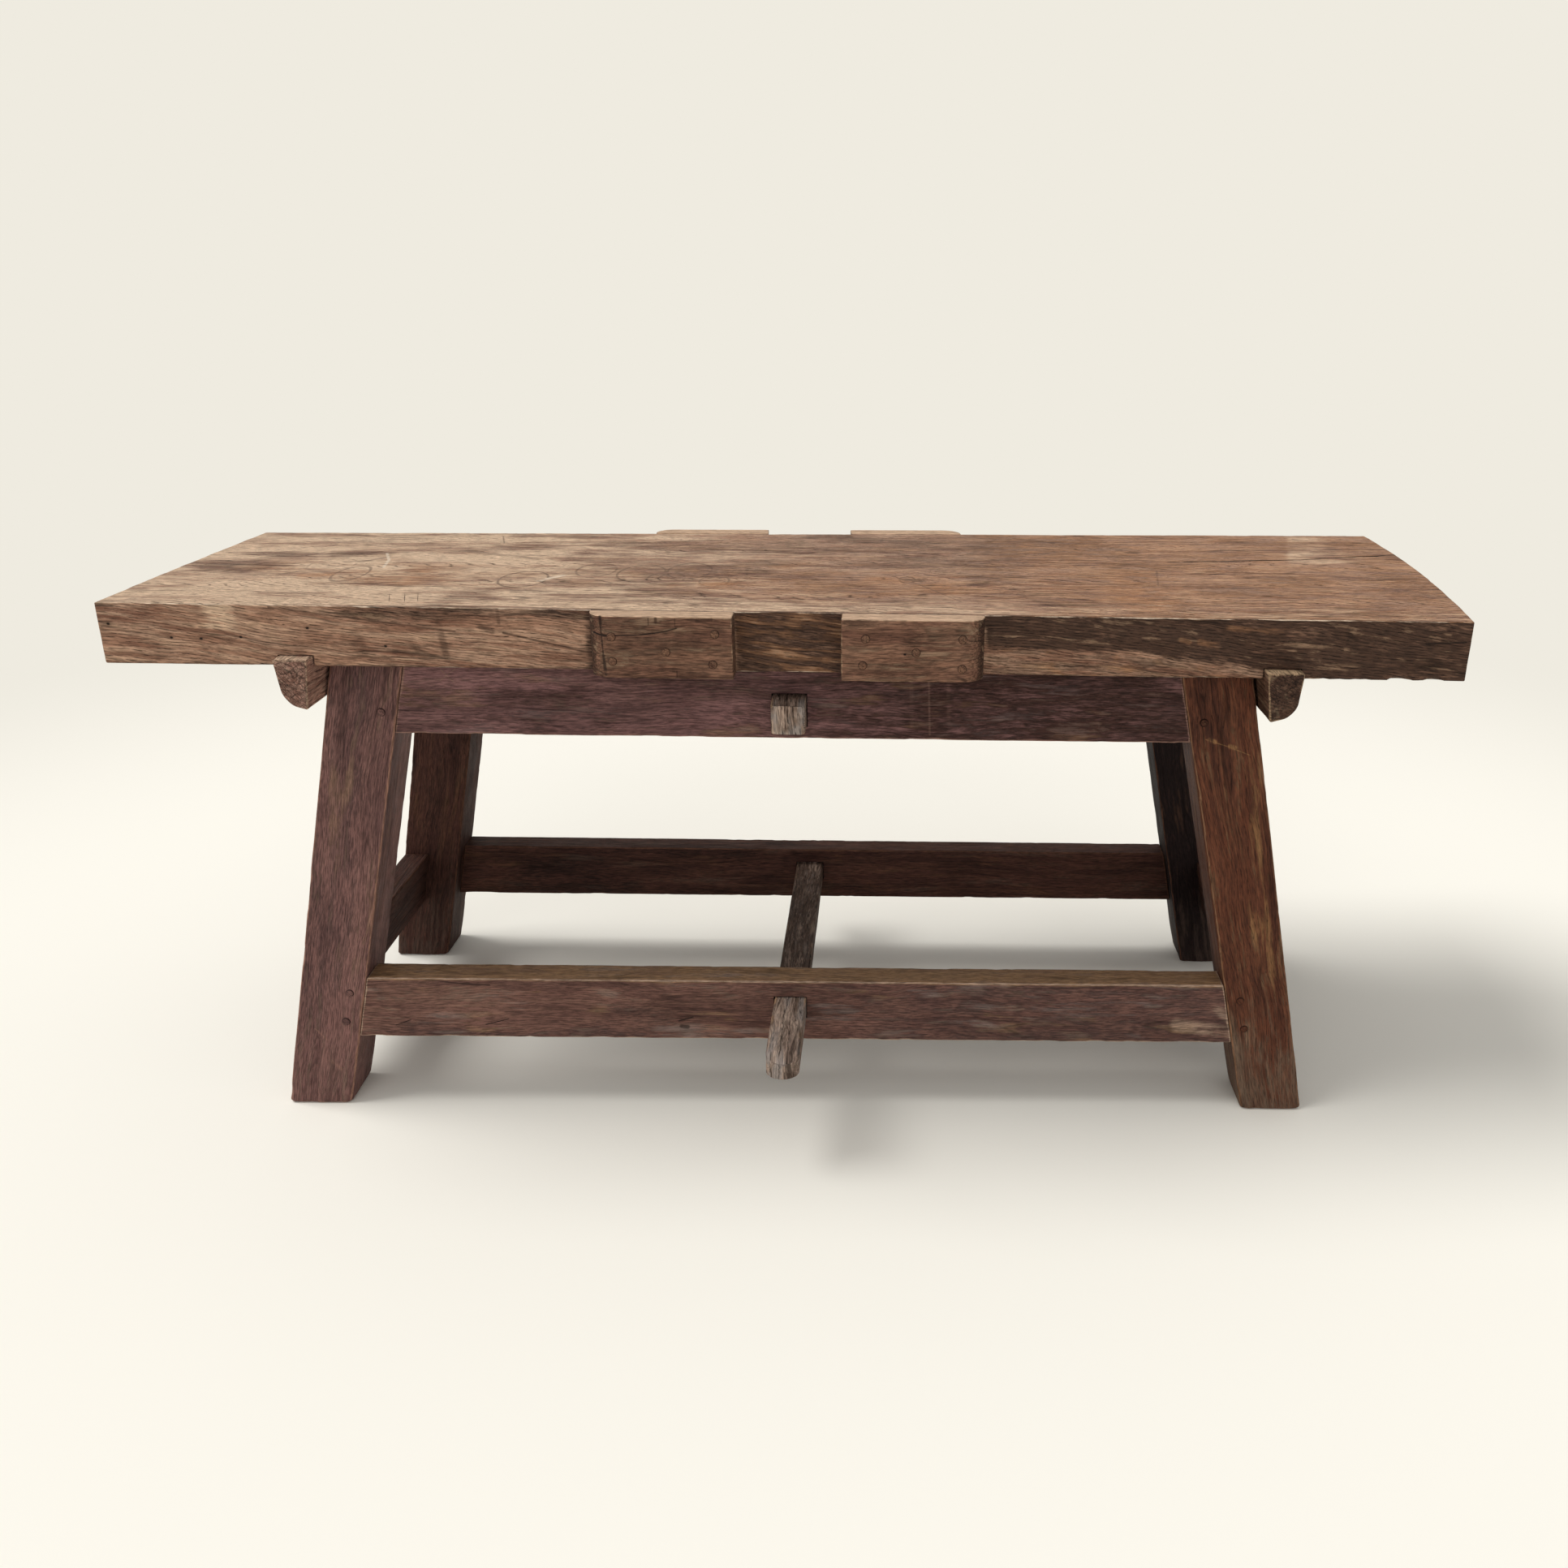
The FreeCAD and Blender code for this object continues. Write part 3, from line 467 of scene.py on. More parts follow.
def aged_oak(name, body, deep, light, patina_and_shade, bare, bloom_and_sheen, worn, gloss=0.66, shine=0.15, streaks=0.6,
             lines=0.7, pores=0.8, rings=(110.0, 150.0), relief=1.0, hatch=0.0, stains=(), flecks=(),
             scratches=(), cracks_and_shadow_lines=()):
    """Old oak seen close: slow changes of tone, pale streaks, growth rings with open pores, patina where
    hands and smoke have darkened it, with painted shade laid on in the same dark layer, bare wood where it
    has been knocked, which on the top also carries some painted shade, a pale layer of bloom that also
    carries painted light and sheen, and pale arrises. The grain runs along the first grain coordinate.
    stains, flecks, scratches and cracks are lists of strokes, and the cracks may hold painted shadow lines."""
    material = bpy.data.materials.new(name)
    tree = empty_tree(material)
    add = functools.partial(put, tree)
    grain = add("Attribute", out="Vector", attribute_name="grain")
    marks, state = [add("Attribute", out="Color", attribute_name=layer) for layer in ("marks", "state")]
    dark, raw, grey = [add("SeparateColor", [marks], out=n) for n in range(3)]
    wear, check, end = [add("SeparateColor", [state], out=n) for n in range(3)]

    def stretched_noise(place, cells, detail, roughness, out=0):
        """Noise stretched to so many cells per metre along, across and through the grain."""
        inputs = {"Vector": add("VectorMath.MULTIPLY", [place, cells]), "Scale": 1.0, "Detail": detail,
                  "Roughness": roughness}
        return add("TexNoise", inputs, out)

    def pattern(along, over, detail=3.0, low=0.36, high=0.64):
        """A pattern as fine across as through the grain, spread out between two of its levels."""
        return add("MapRange", [stretched_noise(lain, (along, over, over), detail, 0.6), low, high],
                   interpolation_type="SMOOTHSTEP")

    # The lines of the board wander by about 9 mm over half a metre.
    wander = stretched_noise(grain, (3.0, 6.0, 6.0), 3.0, 0.5, "Color")
    wander = add("VectorMath.SUBTRACT", [wander, (0.5, 0.5, 0.5)])
    lain = add("VectorMath.ADD", [grain, add("VectorMath.MULTIPLY", [wander, (0.0, 0.036, 0.036)])])

    # Broad tone changes are about 350 mm long and 50 mm over, pale streaks 120 mm by 9 mm, and the flecks
    # of single fibres 17 mm by 2 mm. Blotches of about 55 mm by 20 mm break up every stain.
    broad = pattern(2.8, 20.0)
    streak = pattern(8.0, 110.0, 5.0, 0.40, 0.62)
    fibre = pattern(60.0, 560.0, 4.0, 0.35, 0.65)
    blotch = pattern(18.0, 50.0, 6.0, 0.34, 0.66)
    # Growth rings come out as often per metre across and through as rings says. Each is a line of open
    # pores, about a seventh as wide as the gap to the next, broken into dashes 13 mm long.
    phase = add("VectorMath.DOT_PRODUCT", [lain, (0.0, *rings)], out="Value")
    phase = add("Math.MULTIPLY_ADD", [stretched_noise(lain, (1.6, 11.0, 11.0), 2.0, 0.5), 9.0, phase])
    phase = add("Math.FRACT", [add("Math.MULTIPLY_ADD", [fibre, 0.16, phase])])
    ring = add("Math.ABSOLUTE", [add("Math.SUBTRACT", [phase, 0.5])])
    ring = add("MapRange", [ring, 0.03, 0.10, 1.0, 0.0])
    dash = pattern(75.0, 330.0, 2.0, 0.44, 0.56)
    # Hair checks are where a slow pattern crosses its middle: a millimetre or two wide, 200 mm long.
    hair = add("Math.ABSOLUTE", [add("Math.SUBTRACT", [pattern(2.2, 42.0, 1.0, 0.0, 1.0), 0.5])])
    hair = add("MapRange", [hair, 0.010, 0.034, 1.0, 0.0])
    hair = add("Math.MULTIPLY", [hair, add("MapRange", [broad, 0.40, 0.70])])
    # A painted amount is broken up along the grain, so that it ends in torn streaks.
    torn_by = 0.0
    for part, share in ((streak, 0.35), (blotch, 0.30), (fibre, 0.15)):
        torn_by = add("Math.MULTIPLY_ADD", [part, share, torn_by])
    stained_and_shaded, knocked, dust_and_sheen = [add("MapRange", [add("Math.ADD", [amount, torn_by]), 0.56, 1.20])
                               for amount in (dark, raw, grey)]
    rubbed = add("MapRange", [add("Math.MULTIPLY_ADD", [blotch, 0.5, wear]), 0.62, 1.0])
    layers = [(broad, deep), (add("Math.MULTIPLY", [streak, streaks]), light), (stained_and_shaded, patina_and_shade),
              (knocked, bare), (dust_and_sheen, bloom_and_sheen), (rubbed, worn)]
    layers += [(drawn(tree, grain, blotch, 0.0, drawing), tint)
               for drawing, tint in ((stains, patina_and_shade), (flecks, bare), (scratches, worn)) if drawing]
    colour = to_linear(body)
    for share, tint in layers:
        colour = add("Mix", {0: share, 6: colour, 7: to_linear(tint)}, out=2, data_type="RGBA")
    # Fibres and rings are in the wood itself, so they darken every tone alike.
    shade = add("Math.MULTIPLY_ADD", [fibre, -0.68, 1.33])
    shade = add("Math.MULTIPLY_ADD", [ring, -0.20 * lines, shade])
    colour = add("VectorMath.SCALE", {0: colour, "Scale": shade})
    opened = add("Math.MULTIPLY", [add("Math.MULTIPLY", [ring, dash]), pores])
    opened = add("Math.MAXIMUM", [opened, add("Math.MULTIPLY", [hair, lines])])
    inky = add("VectorMath.SCALE", {0: colour, "Scale": 0.30})
    colour = add("Mix", {0: opened, 6: colour, 7: inky}, out=2, data_type="RGBA")
    # On sawn ends the rings show as short lines 3 mm apart and the wood drinks more dirt.
    ring_cut = stretched_noise(grain, (20.0, 55.0, 330.0), 3.0, 0.65)
    ring_cut = add("MapRange", [ring_cut, 0.42, 0.62, 0.92, 0.55])
    sawn_end = add("VectorMath.SCALE", {0: colour, "Scale": ring_cut})
    colour = add("Mix", {0: end, 6: colour, 7: sawn_end}, out=2, data_type="RGBA")
    # Open checks, holes, saw scores and painted shadow lines are nearly black.
    black_marks = drawn(tree, grain, blotch, add("Math.MULTIPLY", [check, 0.95]), cracks_and_shadow_lines)
    for turn in ((0.0, 62.0, 108.0), (0.0, -70.0, 92.0)) if hatch else ():
        # The saw left two sets of slanting scores, about 8 mm apart.
        tooth = add("VectorMath.DOT_PRODUCT", [grain, turn], out="Value")
        tooth = add("Math.MULTIPLY_ADD", [blotch, 0.5, tooth])
        tooth = add("Math.SINE", [add("Math.MULTIPLY", [tooth, math.tau])])
        tooth = add("MapRange", {0: tooth, 1: 0.80, 4: hatch})
        black_marks = add("Math.MAXIMUM", [black_marks, add("Math.MULTIPLY", [tooth, end])])
    colour = add("Mix", {0: black_marks, 6: colour, 7: to_linear("#150D09")}, out=2, data_type="RGBA")
    # Waxed patina is smoother than bare wood and pores.
    matt = add("Math.MULTIPLY_ADD", [blotch, 0.14, gloss - 0.07])
    matt = add("Math.MULTIPLY_ADD", [opened, 0.2, matt])
    matt = add("Math.MULTIPLY_ADD", [rubbed, 0.15, matt], use_clamp=True)
    height = 0.0
    for part, share in ((opened, -1.0), (fibre, -0.35), (ring, -0.20), (streak, 0.3), (black_marks, -2.0)):
        height = add("Math.MULTIPLY_ADD", [part, share, height])
    bump = add("Bump", {"Strength": 0.9, "Distance": 0.0008 * relief, "Height": height})
    face = add("BsdfPrincipled", {"Base Color": colour, "Roughness": matt, "IOR": 1.48,
                                  "Specular IOR Level": shine, "Normal": bump})
    add("OutputMaterial", {"Surface": face})
    return material


# Leg oak: dark red-brown with a violet cast where smoke and wax have sunk in, yellower on the right leg,
# grey and dry at the feet. Their strokes are given up and across the front face. The rear legs and rails get
# a nearly black oak, which is painted shade for the shade they stand in.
left_leg_scratches = strokes(
    lambda up, over: grain_at(12, up, over, 0),
    (((0.130, 0.030), (0.110, 0.052)), 0.0012, 0.5, 0.6),
    (((0.075, 0.060), (0.060, 0.078)), 0.003, 0.5, 0.9))
right_leg_flecks = strokes(
    lambda up, over: grain_at(14, up, over, 0),
    (((0.610, 0.022), (0.600, 0.052), (0.587, 0.083)), 0.0010, 0.8, 0.5),
    (((0.609, 0.028), (0.607, 0.034)), 0.004, 0.7, 0.8),
    (((0.600, 0.056), (0.598, 0.062)), 0.004, 0.7, 0.8))
left_leg_oak = aged_oak(
    "left_leg_oak", scratches=left_leg_scratches, body="#73524C", deep="#593E3A", light="#815F56",
    patina_and_shade="#3C2B2C", bare="#93705A", bloom_and_sheen="#6E5A50", worn="#8A6656", gloss=0.64, streaks=0.4, lines=0.5,
    pores=0.5, rings=(300.0, 220.0))
right_leg_oak = aged_oak(
    "right_leg_oak", flecks=right_leg_flecks, body="#522D1D", deep="#3A1E13", light="#6C422C",
    patina_and_shade="#2C1B16", bare="#86623F", bloom_and_sheen="#6A5646", worn="#74543E", gloss=0.64, streaks=0.4, lines=0.6,
    pores=0.6, rings=(170.0, 230.0))
# Painted shade: the rear legs and the rails behind and at the ends are made nearly black to stand in for
# their shade.
rear_oak = aged_oak(
    "rear_oak", body="#452B24", deep="#321E19", light="#5A3B2E", patina_and_shade="#1E1413", bare="#583C2A",
    bloom_and_sheen="#4A3B34", worn="#54392C", gloss=0.70, streaks=0.4, lines=0.5, pores=0.4, shine=0.12)


def leg_face(foot, top):
    """Distance from the middle of the base to a leg's outer (0) or inner (1) face at a height."""
    return lambda height, face: foot[face] + (top[face] - foot[face]) * height / LEG_HEIGHT


leg_x = leg_face(LEG_FOOT_X, LEG_TOP_X)
leg_y = leg_face(LEG_FOOT_Y, LEG_TOP_Y)


def leg_arris(chamfer):
    """Soft arrises, softer at the foot, with a stopped chamfer of this depth on the inner front one."""
    def arris(u):
        every = np.full((len(u), 4), 0.0032)
        every[:, 0] += chamfer * band(u, 0.25, 0.30, 0.54, 0.59)
        return every + (0.005 * (1 - rise(u, 0.0, 0.05)))[:, None]
    return arris


def leg_paint(seed, dust_and_sheen, darkening, raw):
    """Patina clouds all over the leg, painted shade all over some, raw streaks and dry grey wood near the
    foot.
    """
    def paint(world, at):
        height = world[:, 2]
        dark = 0.42 * rise(rough(seed, *(at / (0.20, 0.05, 0.05)).T), 0.42, 0.75)
        low = 1 - rise(height, 0.02, 0.26)
        grey = dust_and_sheen * low * (0.5 + 0.8 * rough(seed + 3, *(at / (0.05, 0.02, 0.02)).T))
        bare = raw * rise(rough(seed + 6, *(at / (0.16, 0.02, 0.03)).T), 0.48, 0.7)
        bare *= band(height, 0.12, 0.25, 0.50, 0.62)
        bare *= 1 - 0.8 * rise(at[:, 2], 0.004, 0.012)
        return np.column_stack([np.maximum(dark * (1 - 0.5 * low), darkening), bare, grey])
    return paint


def span(from_first, near, far, total):
    """A span between two distances from the first side of a piece, or else from its last."""
    return (near, far) if from_first else (total - far, total - near)


# Each leg has its seed, its oak, the dust at its foot, how dark it is all over (painted shade, on the rear
# right leg only) and its raw streaks.
LEG_LOOKS = {"front_left_leg": (12, left_leg_oak, 0.15, 0.0, 0.28),
             "rear_left_leg": (15, rear_oak, 0.42, 0.0, 0.28),
             "front_right_leg": (14, right_leg_oak, 0.65, 0.0, 0.5),
             # Painted shade: the rear right leg is darkened all over.
             "rear_right_leg": (17, rear_oak, 0.42, 1.0, 0.08)}
for (side, side_name), (row, row_name) in itertools.product(SIDES, ROWS):
    node = f"{row_name}_{side_name}_leg"
    seed, oak, dust_and_sheen, darkening, raw = LEG_LOOKS[node]
    corners = [(BASE_X + x, BASE_Y + y, height) for height in (0.0, LEG_HEIGHT)
               for x in sorted(side * leg_x(height, face) for face in (0, 1))
               for y in sorted(row * leg_y(height, face) for face in (0, 1))]
    # A tenon enters from each of the two inner sides, a wall's thickness behind the outer face.
    wall = (TENON_WALL, TENON_WALL + TENON_THICKNESS + MORTISE_ROOM)
    behind_x = span(side < 0, *wall, LEG_WIDTH)
    behind_y = span(row < 0, *wall, LEG_DEPTH)
    deep_x = span(side > 0, 0.0, MORTISE_DEPTH, LEG_WIDTH)
    deep_y = span(row > 0, 0.0, MORTISE_DEPTH, LEG_DEPTH)
    mortises = []
    for low, high in ((STRETCHER_FLOOR, STRETCHER_FLOOR + STRETCHER_HEIGHT),
                      (APRON_FLOOR, APRON_FLOOR + APRON_HEIGHT)):
        heights = (low + TENON_EDGE - MORTISE_PLAY, high - TENON_EDGE + MORTISE_PLAY)
        mortises += [(heights, deep_x, behind_y), (heights, behind_x, deep_y)]
    timber(node, "frame", oak, corners, (LEG_HEIGHT, LEG_WIDTH, LEG_DEPTH), (0.008, 0.007, 0.007),
           seed, leg_paint(seed + 50, dust_and_sheen, darkening, raw), cuts=mortises, chips=0.0025, wave=0.0009,
           arris=leg_arris(LEG_CHAMFER if side > 0 > row else 0.0), end_arris=(0.006, 0.0012))

# Two aprons, two stretchers and four end rails are planed oak, tenoned into the legs and flush with
# their faces but for a hair. The long ones have a slot sawn through the middle for the cross bars.
RAIL_SETBACK = 0.0015
TENON_LENGTH = 0.055
# Each rail has its height above the floor, its own height, its thickness and its length. Each slot has its
# two places along the table and its two heights above the floor.
RAIL_SIZES = {"apron": (APRON_FLOOR, APRON_HEIGHT, 0.045, 1.125),
              "stretcher": (STRETCHER_FLOOR, STRETCHER_HEIGHT, 0.049, 1.332),
              "end_rail": (APRON_FLOOR, APRON_HEIGHT, 0.045, 0.339),
              "end_stretcher": (STRETCHER_FLOOR, STRETCHER_HEIGHT, 0.044, 0.382)}
SLOTS = {"apron": ((-0.0625, -0.0115), (0.621, 0.670)), "stretcher": ((-0.0665, -0.0155), (0.155, 0.191))}


def on_rail(seed, kind):
    """The grain coordinates of the front of a long rail, from places along the table and up."""
    floor_level, _, _, length = RAIL_SIZES[kind]
    return lambda x, z: grain_at(seed, length * (x - BASE_X + leg_x(z, 1)) / (2 * leg_x(z, 1)), 0,
                                 z - floor_level)


# The stretcher's face has a long shallow check and four short ones, and its right end is rubbed pale. The
# apron has a cross of thin scratches at its left end and faint upright drips right of the slot.
stretcher_cracks = strokes(
    on_rail(30, "stretcher"),
    (((-0.603, 0.2155), (-0.552, 0.209), (-0.500, 0.206)), 0.0013, 0.7, 0.4),
    (((-0.510, 0.139), (-0.475, 0.149)), 0.0011, 0.9),
    (((-0.213, 0.148), (-0.191, 0.155)), 0.0011, 0.9),
    (((-0.648, 0.137), (-0.625, 0.146)), 0.0010, 0.8),
    (((-0.209, 0.139), (-0.200, 0.138)), 0.0040, 0.7, 0.7))
stretcher_scratches = strokes(
    on_rail(30, "stretcher"),
    (((-0.74, 0.2160), (0.68, 0.2160)), 0.0016, 0.85, 0.4),
    (((0.56, 0.148), (0.64, 0.136)), 0.012, 0.55, 1.0),
    (((0.62, 0.175), (0.648, 0.155)), 0.009, 0.45, 1.0))
apron_scratches = strokes(
    on_rail(33, "apron"),
    (((-0.530, 0.698), (-0.513, 0.680)), 0.0009, 0.7),
    (((-0.510, 0.699), (-0.532, 0.682)), 0.0009, 0.7),
    (((0.137, 0.700), (0.139, 0.625)), 0.0030, 0.12, 0.8),
    (((0.162, 0.700), (0.165, 0.612)), 0.0018, 0.26, 0.6),
    (((0.190, 0.695), (0.192, 0.630)), 0.0030, 0.12, 0.8))
apron_cracks = strokes(
    on_rail(33, "apron"),
    (((0.545, 0.652), (0.586, 0.650)), 0.0009, 0.8, 0.2),
    (((0.560, 0.640), (0.586, 0.643)), 0.0008, 0.8, 0.2),
    (((-0.640, 0.640), (-0.560, 0.637)), 0.0008, 0.7, 0.4))
apron_oak = aged_oak(
    "apron_oak", scratches=apron_scratches, cracks_and_shadow_lines=apron_cracks, body="#735250", deep="#543A37",
    light="#825F5A", patina_and_shade="#35201B", bare="#80604A", bloom_and_sheen="#73605E", worn="#7E6054", gloss=0.64,
    streaks=0.4, lines=0.45, pores=0.4, rings=(150.0, 210.0))
stretcher_oak = aged_oak(
    "stretcher_oak", scratches=stretcher_scratches, cracks_and_shadow_lines=stretcher_cracks, body="#66483F", deep="#50362F",
    light="#7A5A4C", patina_and_shade="#382828", bare="#8A6A4C", bloom_and_sheen="#80706A", worn="#A08672", gloss=0.64,
    streaks=0.45, lines=0.5, pores=0.4, rings=(150.0, 230.0))


def rail_corners(axis, side, thickness, levels):
    """The corners of a rail between two heights, along an axis of the table and on one side of it."""
    reach, outer = (leg_x, leg_y)[::1 - 2 * axis]
    corners = []
    for end, far, level in itertools.product((-1, 1), (0, 1), levels):
        face = side * (outer(level, 0) - RAIL_SETBACK)
        x, y = (end * reach(level, 1), sorted((face, face - side * thickness))[far])[::1 - 2 * axis]
        corners.append((BASE_X + x, BASE_Y + y, level))
    return corners


def rail_solids(length, thickness, height, outer_first):
    """The rail between its shoulders, and a tenon beyond each."""
    wall = TENON_WALL - RAIL_SETBACK
    tenon = span(outer_first, wall, wall + TENON_THICKNESS, thickness)
    tall = (TENON_EDGE, height - TENON_EDGE)
    return [((0, length), (0, thickness), (0, height)),
            ((-TENON_LENGTH, 0.0), tenon, tall), ((length, length + TENON_LENGTH), tenon, tall)]


def rail_slot(kind, corners):
    """The slot for a cross bar in a rail's own length, thickness and height."""
    floor_level, _, thickness, length = RAIL_SIZES[kind]
    across, upright = SLOTS[kind]
    start, stop = [(corners[n][0] + corners[n + 1][0]) / 2 for n in (0, 4)]
    return (tuple((x - start) * length / (stop - start) for x in across), (0, thickness),
            tuple(z - floor_level for z in upright))


def rail_paint(seed, dust_and_sheen, darkening=(0.0, 0.0), scrubbed=0.0):
    """Patina in long clouds with bare wood here and there. The value after the dust gives the least patina
    at the left and right end, and scrubbed the bare wood of the top side."""
    def paint(world, at):
        share = rise(world[:, 0], -0.35, 0.25)
        dark = 0.45 * rise(rough(seed, *(at / (0.2, 0.06, 0.045)).T), 0.45, 0.75)
        dark = np.maximum(dark, darkening[0] * (1 - share) + darkening[1] * share)
        bare = 0.3 * rise(rough(seed + 5, *(at / (0.09, 0.03, 0.02)).T), 0.6, 0.8)
        top = rise(at[:, 2], STRETCHER_HEIGHT - 0.006, STRETCHER_HEIGHT - 0.001)
        grey = dust_and_sheen * rise(rough(seed + 9, *(at / (0.12, 0.02, 0.012)).T), 0.5, 0.8)
        return np.column_stack([dark, np.maximum(bare, scrubbed * top), grey])
    return paint


# Each rail has its kind, side, seed and oak, and then its dust, its least patina at each end and how
# scrubbed it is.
for node, kind, side, seed, oak, *looks in (
        ("front_apron", "apron", -1, 33, apron_oak, 0.25, (0.10, 0.78)),
        ("rear_apron", "apron", 1, 34, rear_oak, 0.25),
        ("front_stretcher", "stretcher", -1, 30, stretcher_oak, 0.25, (0.0, 0.45), 0.85),
        ("rear_stretcher", "stretcher", 1, 31, rear_oak, 0.25),
        ("left_end_rail", "end_rail", -1, 49, rear_oak, 0.2),
        ("left_end_stretcher", "end_stretcher", -1, 48, rear_oak, 0.2),
        ("right_end_rail", "end_rail", 1, 51, rear_oak, 0.2),
        ("right_end_stretcher", "end_stretcher", 1, 50, rear_oak, 0.2)):
    floor_level, height, thickness, length = RAIL_SIZES[kind]
    slotted = kind in SLOTS
    corners = rail_corners(0 if slotted else 1, side, thickness, (floor_level, floor_level + height))
    timber(node, "frame", oak, corners, (length, thickness, height), (0.008, 0.007, 0.006), seed,
           rail_paint(seed + 50, *looks),
           solids=rail_solids(length, thickness, height, side < 0),
           cuts=[rail_slot(kind, corners)] if slotted else [],
           arris=(0.0026, 0.0026, 0.003, 0.003) if slotted else 0.0026, end_arris=0.0007, chips=0.0022)

# Riven oak pegs draw the tenons tight: each leg has one at the apron and two at the stretcher, on its
# front or rear face and again on its outer face. Their heads stand proud by about a millimetre.
PEG_RADIUS = 0.0065
PEG_PROUD = 0.0015
PEG_SIDES = 20
LEG_PEG_DEPTH = 0.046
PEG_INSET = 0.023
PEG_HEIGHTS = (0.635, 0.191, 0.143)
peg_oak = aged_oak("peg_oak", body="#72523F", deep="#5A3D30", light="#84624C", patina_and_shade="#33231C",
                   bare="#7A5B46", bloom_and_sheen="#6C5A52", worn="#5E433C", gloss=0.68, lines=0.4, pores=0.5)


def peg_group(node, body, oak, heads, depth, seed):
    """One mesh of hand-cut pegs. heads are the middle of each head's face and the level way it points."""
    # Each ring of a peg has a height, its share of the radius, and how dark the joint round it is.
    rings = np.array([(-depth, 0.82, 1), (-depth + 0.003, 0.97, 1), (-0.004, 0.99, 1), (-0.0002, 0.985, 1),
                      (0.0003, 0.94, 1), (PEG_PROUD * 0.45, 0.88, 0.35), (PEG_PROUD * 0.60, 0.74, 0),
                      (PEG_PROUD * 0.68, 0.36, 0)])
    height, share, rim = rings.T[..., None]
    angle = np.arange(PEG_SIDES) / PEG_SIDES * math.tau
    points = []
    for number, (centre, outwards) in enumerate(heads):
        side = np.cross(outwards, (0, 0, 1))
        facet = 1 - 0.07 * chance(seed + number, np.arange(PEG_SIDES) / 2.5 + 30)
        tilt = (chance(seed + 31, number * 3.3) - 0.5) * 0.10
        spread = PEG_RADIUS * share * facet
        lift = np.clip(height + np.where(height > 0, np.cos(angle) * spread * tilt, 0), -depth, PEG_PROUD)
        shifts = ((np.cos(angle) * spread, side), (np.sin(angle) * spread, np.cross(outwards, side)),
                  (lift, np.array(outwards)))
        points.append(np.array(centre) + sum(length[..., None] * way for length, way in shifts))
    points = np.reshape(points, (-1, 3))
    numbers = np.arange(len(points)).reshape(len(heads), -1, PEG_SIDES)
    beside = np.roll(numbers, -1, axis=2)
    quads = np.stack([numbers[:, :-1], beside[:, :-1], beside[:, 1:], numbers[:, 1:]], -1).reshape(-1, 4)
    faces = [*quads.tolist(), *numbers[:, 0, ::-1].tolist(), *numbers[:, -1].tolist()]
    rim = np.broadcast_to(rim, numbers.shape).ravel()
    dark = rough(seed + 9, *(points.T / 0.01))
    dress(node, body, oak, points, faces, points[:, [1, 0, 2]] + seed * 0.7,
          np.outer(rim, (0, 0.8, 0)) + (0, 0, 0.5), np.outer(dark, (0.4, 0, 0)), 50)


for (side, side_name), (row, row_name) in itertools.product(SIDES, ROWS):
    heads = []
    for height in PEG_HEIGHTS:
        outer_x, inset_x = [BASE_X + side * x for x in (leg_x(height, 0), leg_x(height, 1) + PEG_INSET)]
        outer_y, inset_y = [BASE_Y + row * y for y in (leg_y(height, 0), leg_y(height, 1) + PEG_INSET)]
        heads += [((inset_x, outer_y, height), (0, row, 0)), ((outer_x, inset_y, height), (side, 0, 0))]
    leg = f"{row_name}_{side_name}_leg"
    peg_group(leg + "_pegs", "frame", LEG_LOOKS[leg][1], heads, LEG_PEG_DEPTH, 120 + side + 4 * (row > 0))

# Two loose cross bars slide through the slots: a short thick one through the aprons and a long flat one
# through the stretchers. They are rough and weathered grey, with raw pale arrises and rounded tips.
bar_oak = aged_oak("bar_oak", body="#AC9483", deep="#867164", light="#C8B3A0", patina_and_shade="#4C3A30",
                   bare="#B08E70", bloom_and_sheen="#8C8078", worn="#B89A80", gloss=0.72, relief=1.6)


def bar_paint(seed, dull):
    """Grey bloom in long streaks, dull patina, painted shade between the rails where the bar lies under the
    table, and bare wood at the arrises.
    """
    def paint(world, at):
        streak = rough(seed, world[:, 1] / 0.08, world[:, 0] / 0.008, world[:, 2] / 0.02)
        edge = sum(np.minimum(side, side.max() - side) for side in (at[:, 1], at[:, 0]))
        bare = (1 - rise(edge, 0.002, 0.008)) * rise(rough(seed + 4, world[:, 1] / 0.03), 0.3, 0.6)
        # Painted shade: darker where the bar lies between the rails, under the table.
        shade_between_rails = 0.8 * band(world[:, 1], -0.24, -0.20, 0.29, 0.33)
        dark = np.maximum(dull * (0.6 + 0.4 * rise(1 - streak, 0.5, 0.7)), shade_between_rails)
        clear = 0.9 * (1 - shade_between_rails)
        return np.column_stack([dark, bare * clear, rise(streak, 0.4, 0.7) * clear])
    return paint


def bar_tips(front, rear, bevel):
    """Bevels the top of both tips of a bar, and takes a few millimetres off their length."""
    def bend(world, shares):
        tip = np.minimum(world[:, 1] - front, rear - world[:, 1])
        worn = np.clip(1 - tip / 0.018, 0, 1) * bevel * rise(shares[:, 0], 0.1, 1.0)
        worn = worn * (0.7 + 0.6 * chance(145, world[:, 0] / 0.012))
        middle = (front + rear) / 2
        shorter = 1 - 0.004 * (0.6 + 0.8 * chance(146, world[:, 0] / 0.01)) / (rear - middle)
        return np.column_stack([world[:, 0], middle + (world[:, 1] - middle) * shorter, world[:, 2] - worn])
    return bend


def side_ends(axis, total):
    """The end grain of a bar or block is on the two ends of its second or third direction."""
    return lambda flat: np.maximum(1 - rise(flat[:, axis], 0.0, 0.0015),
                                   rise(flat[:, axis], total - 0.0015, total))


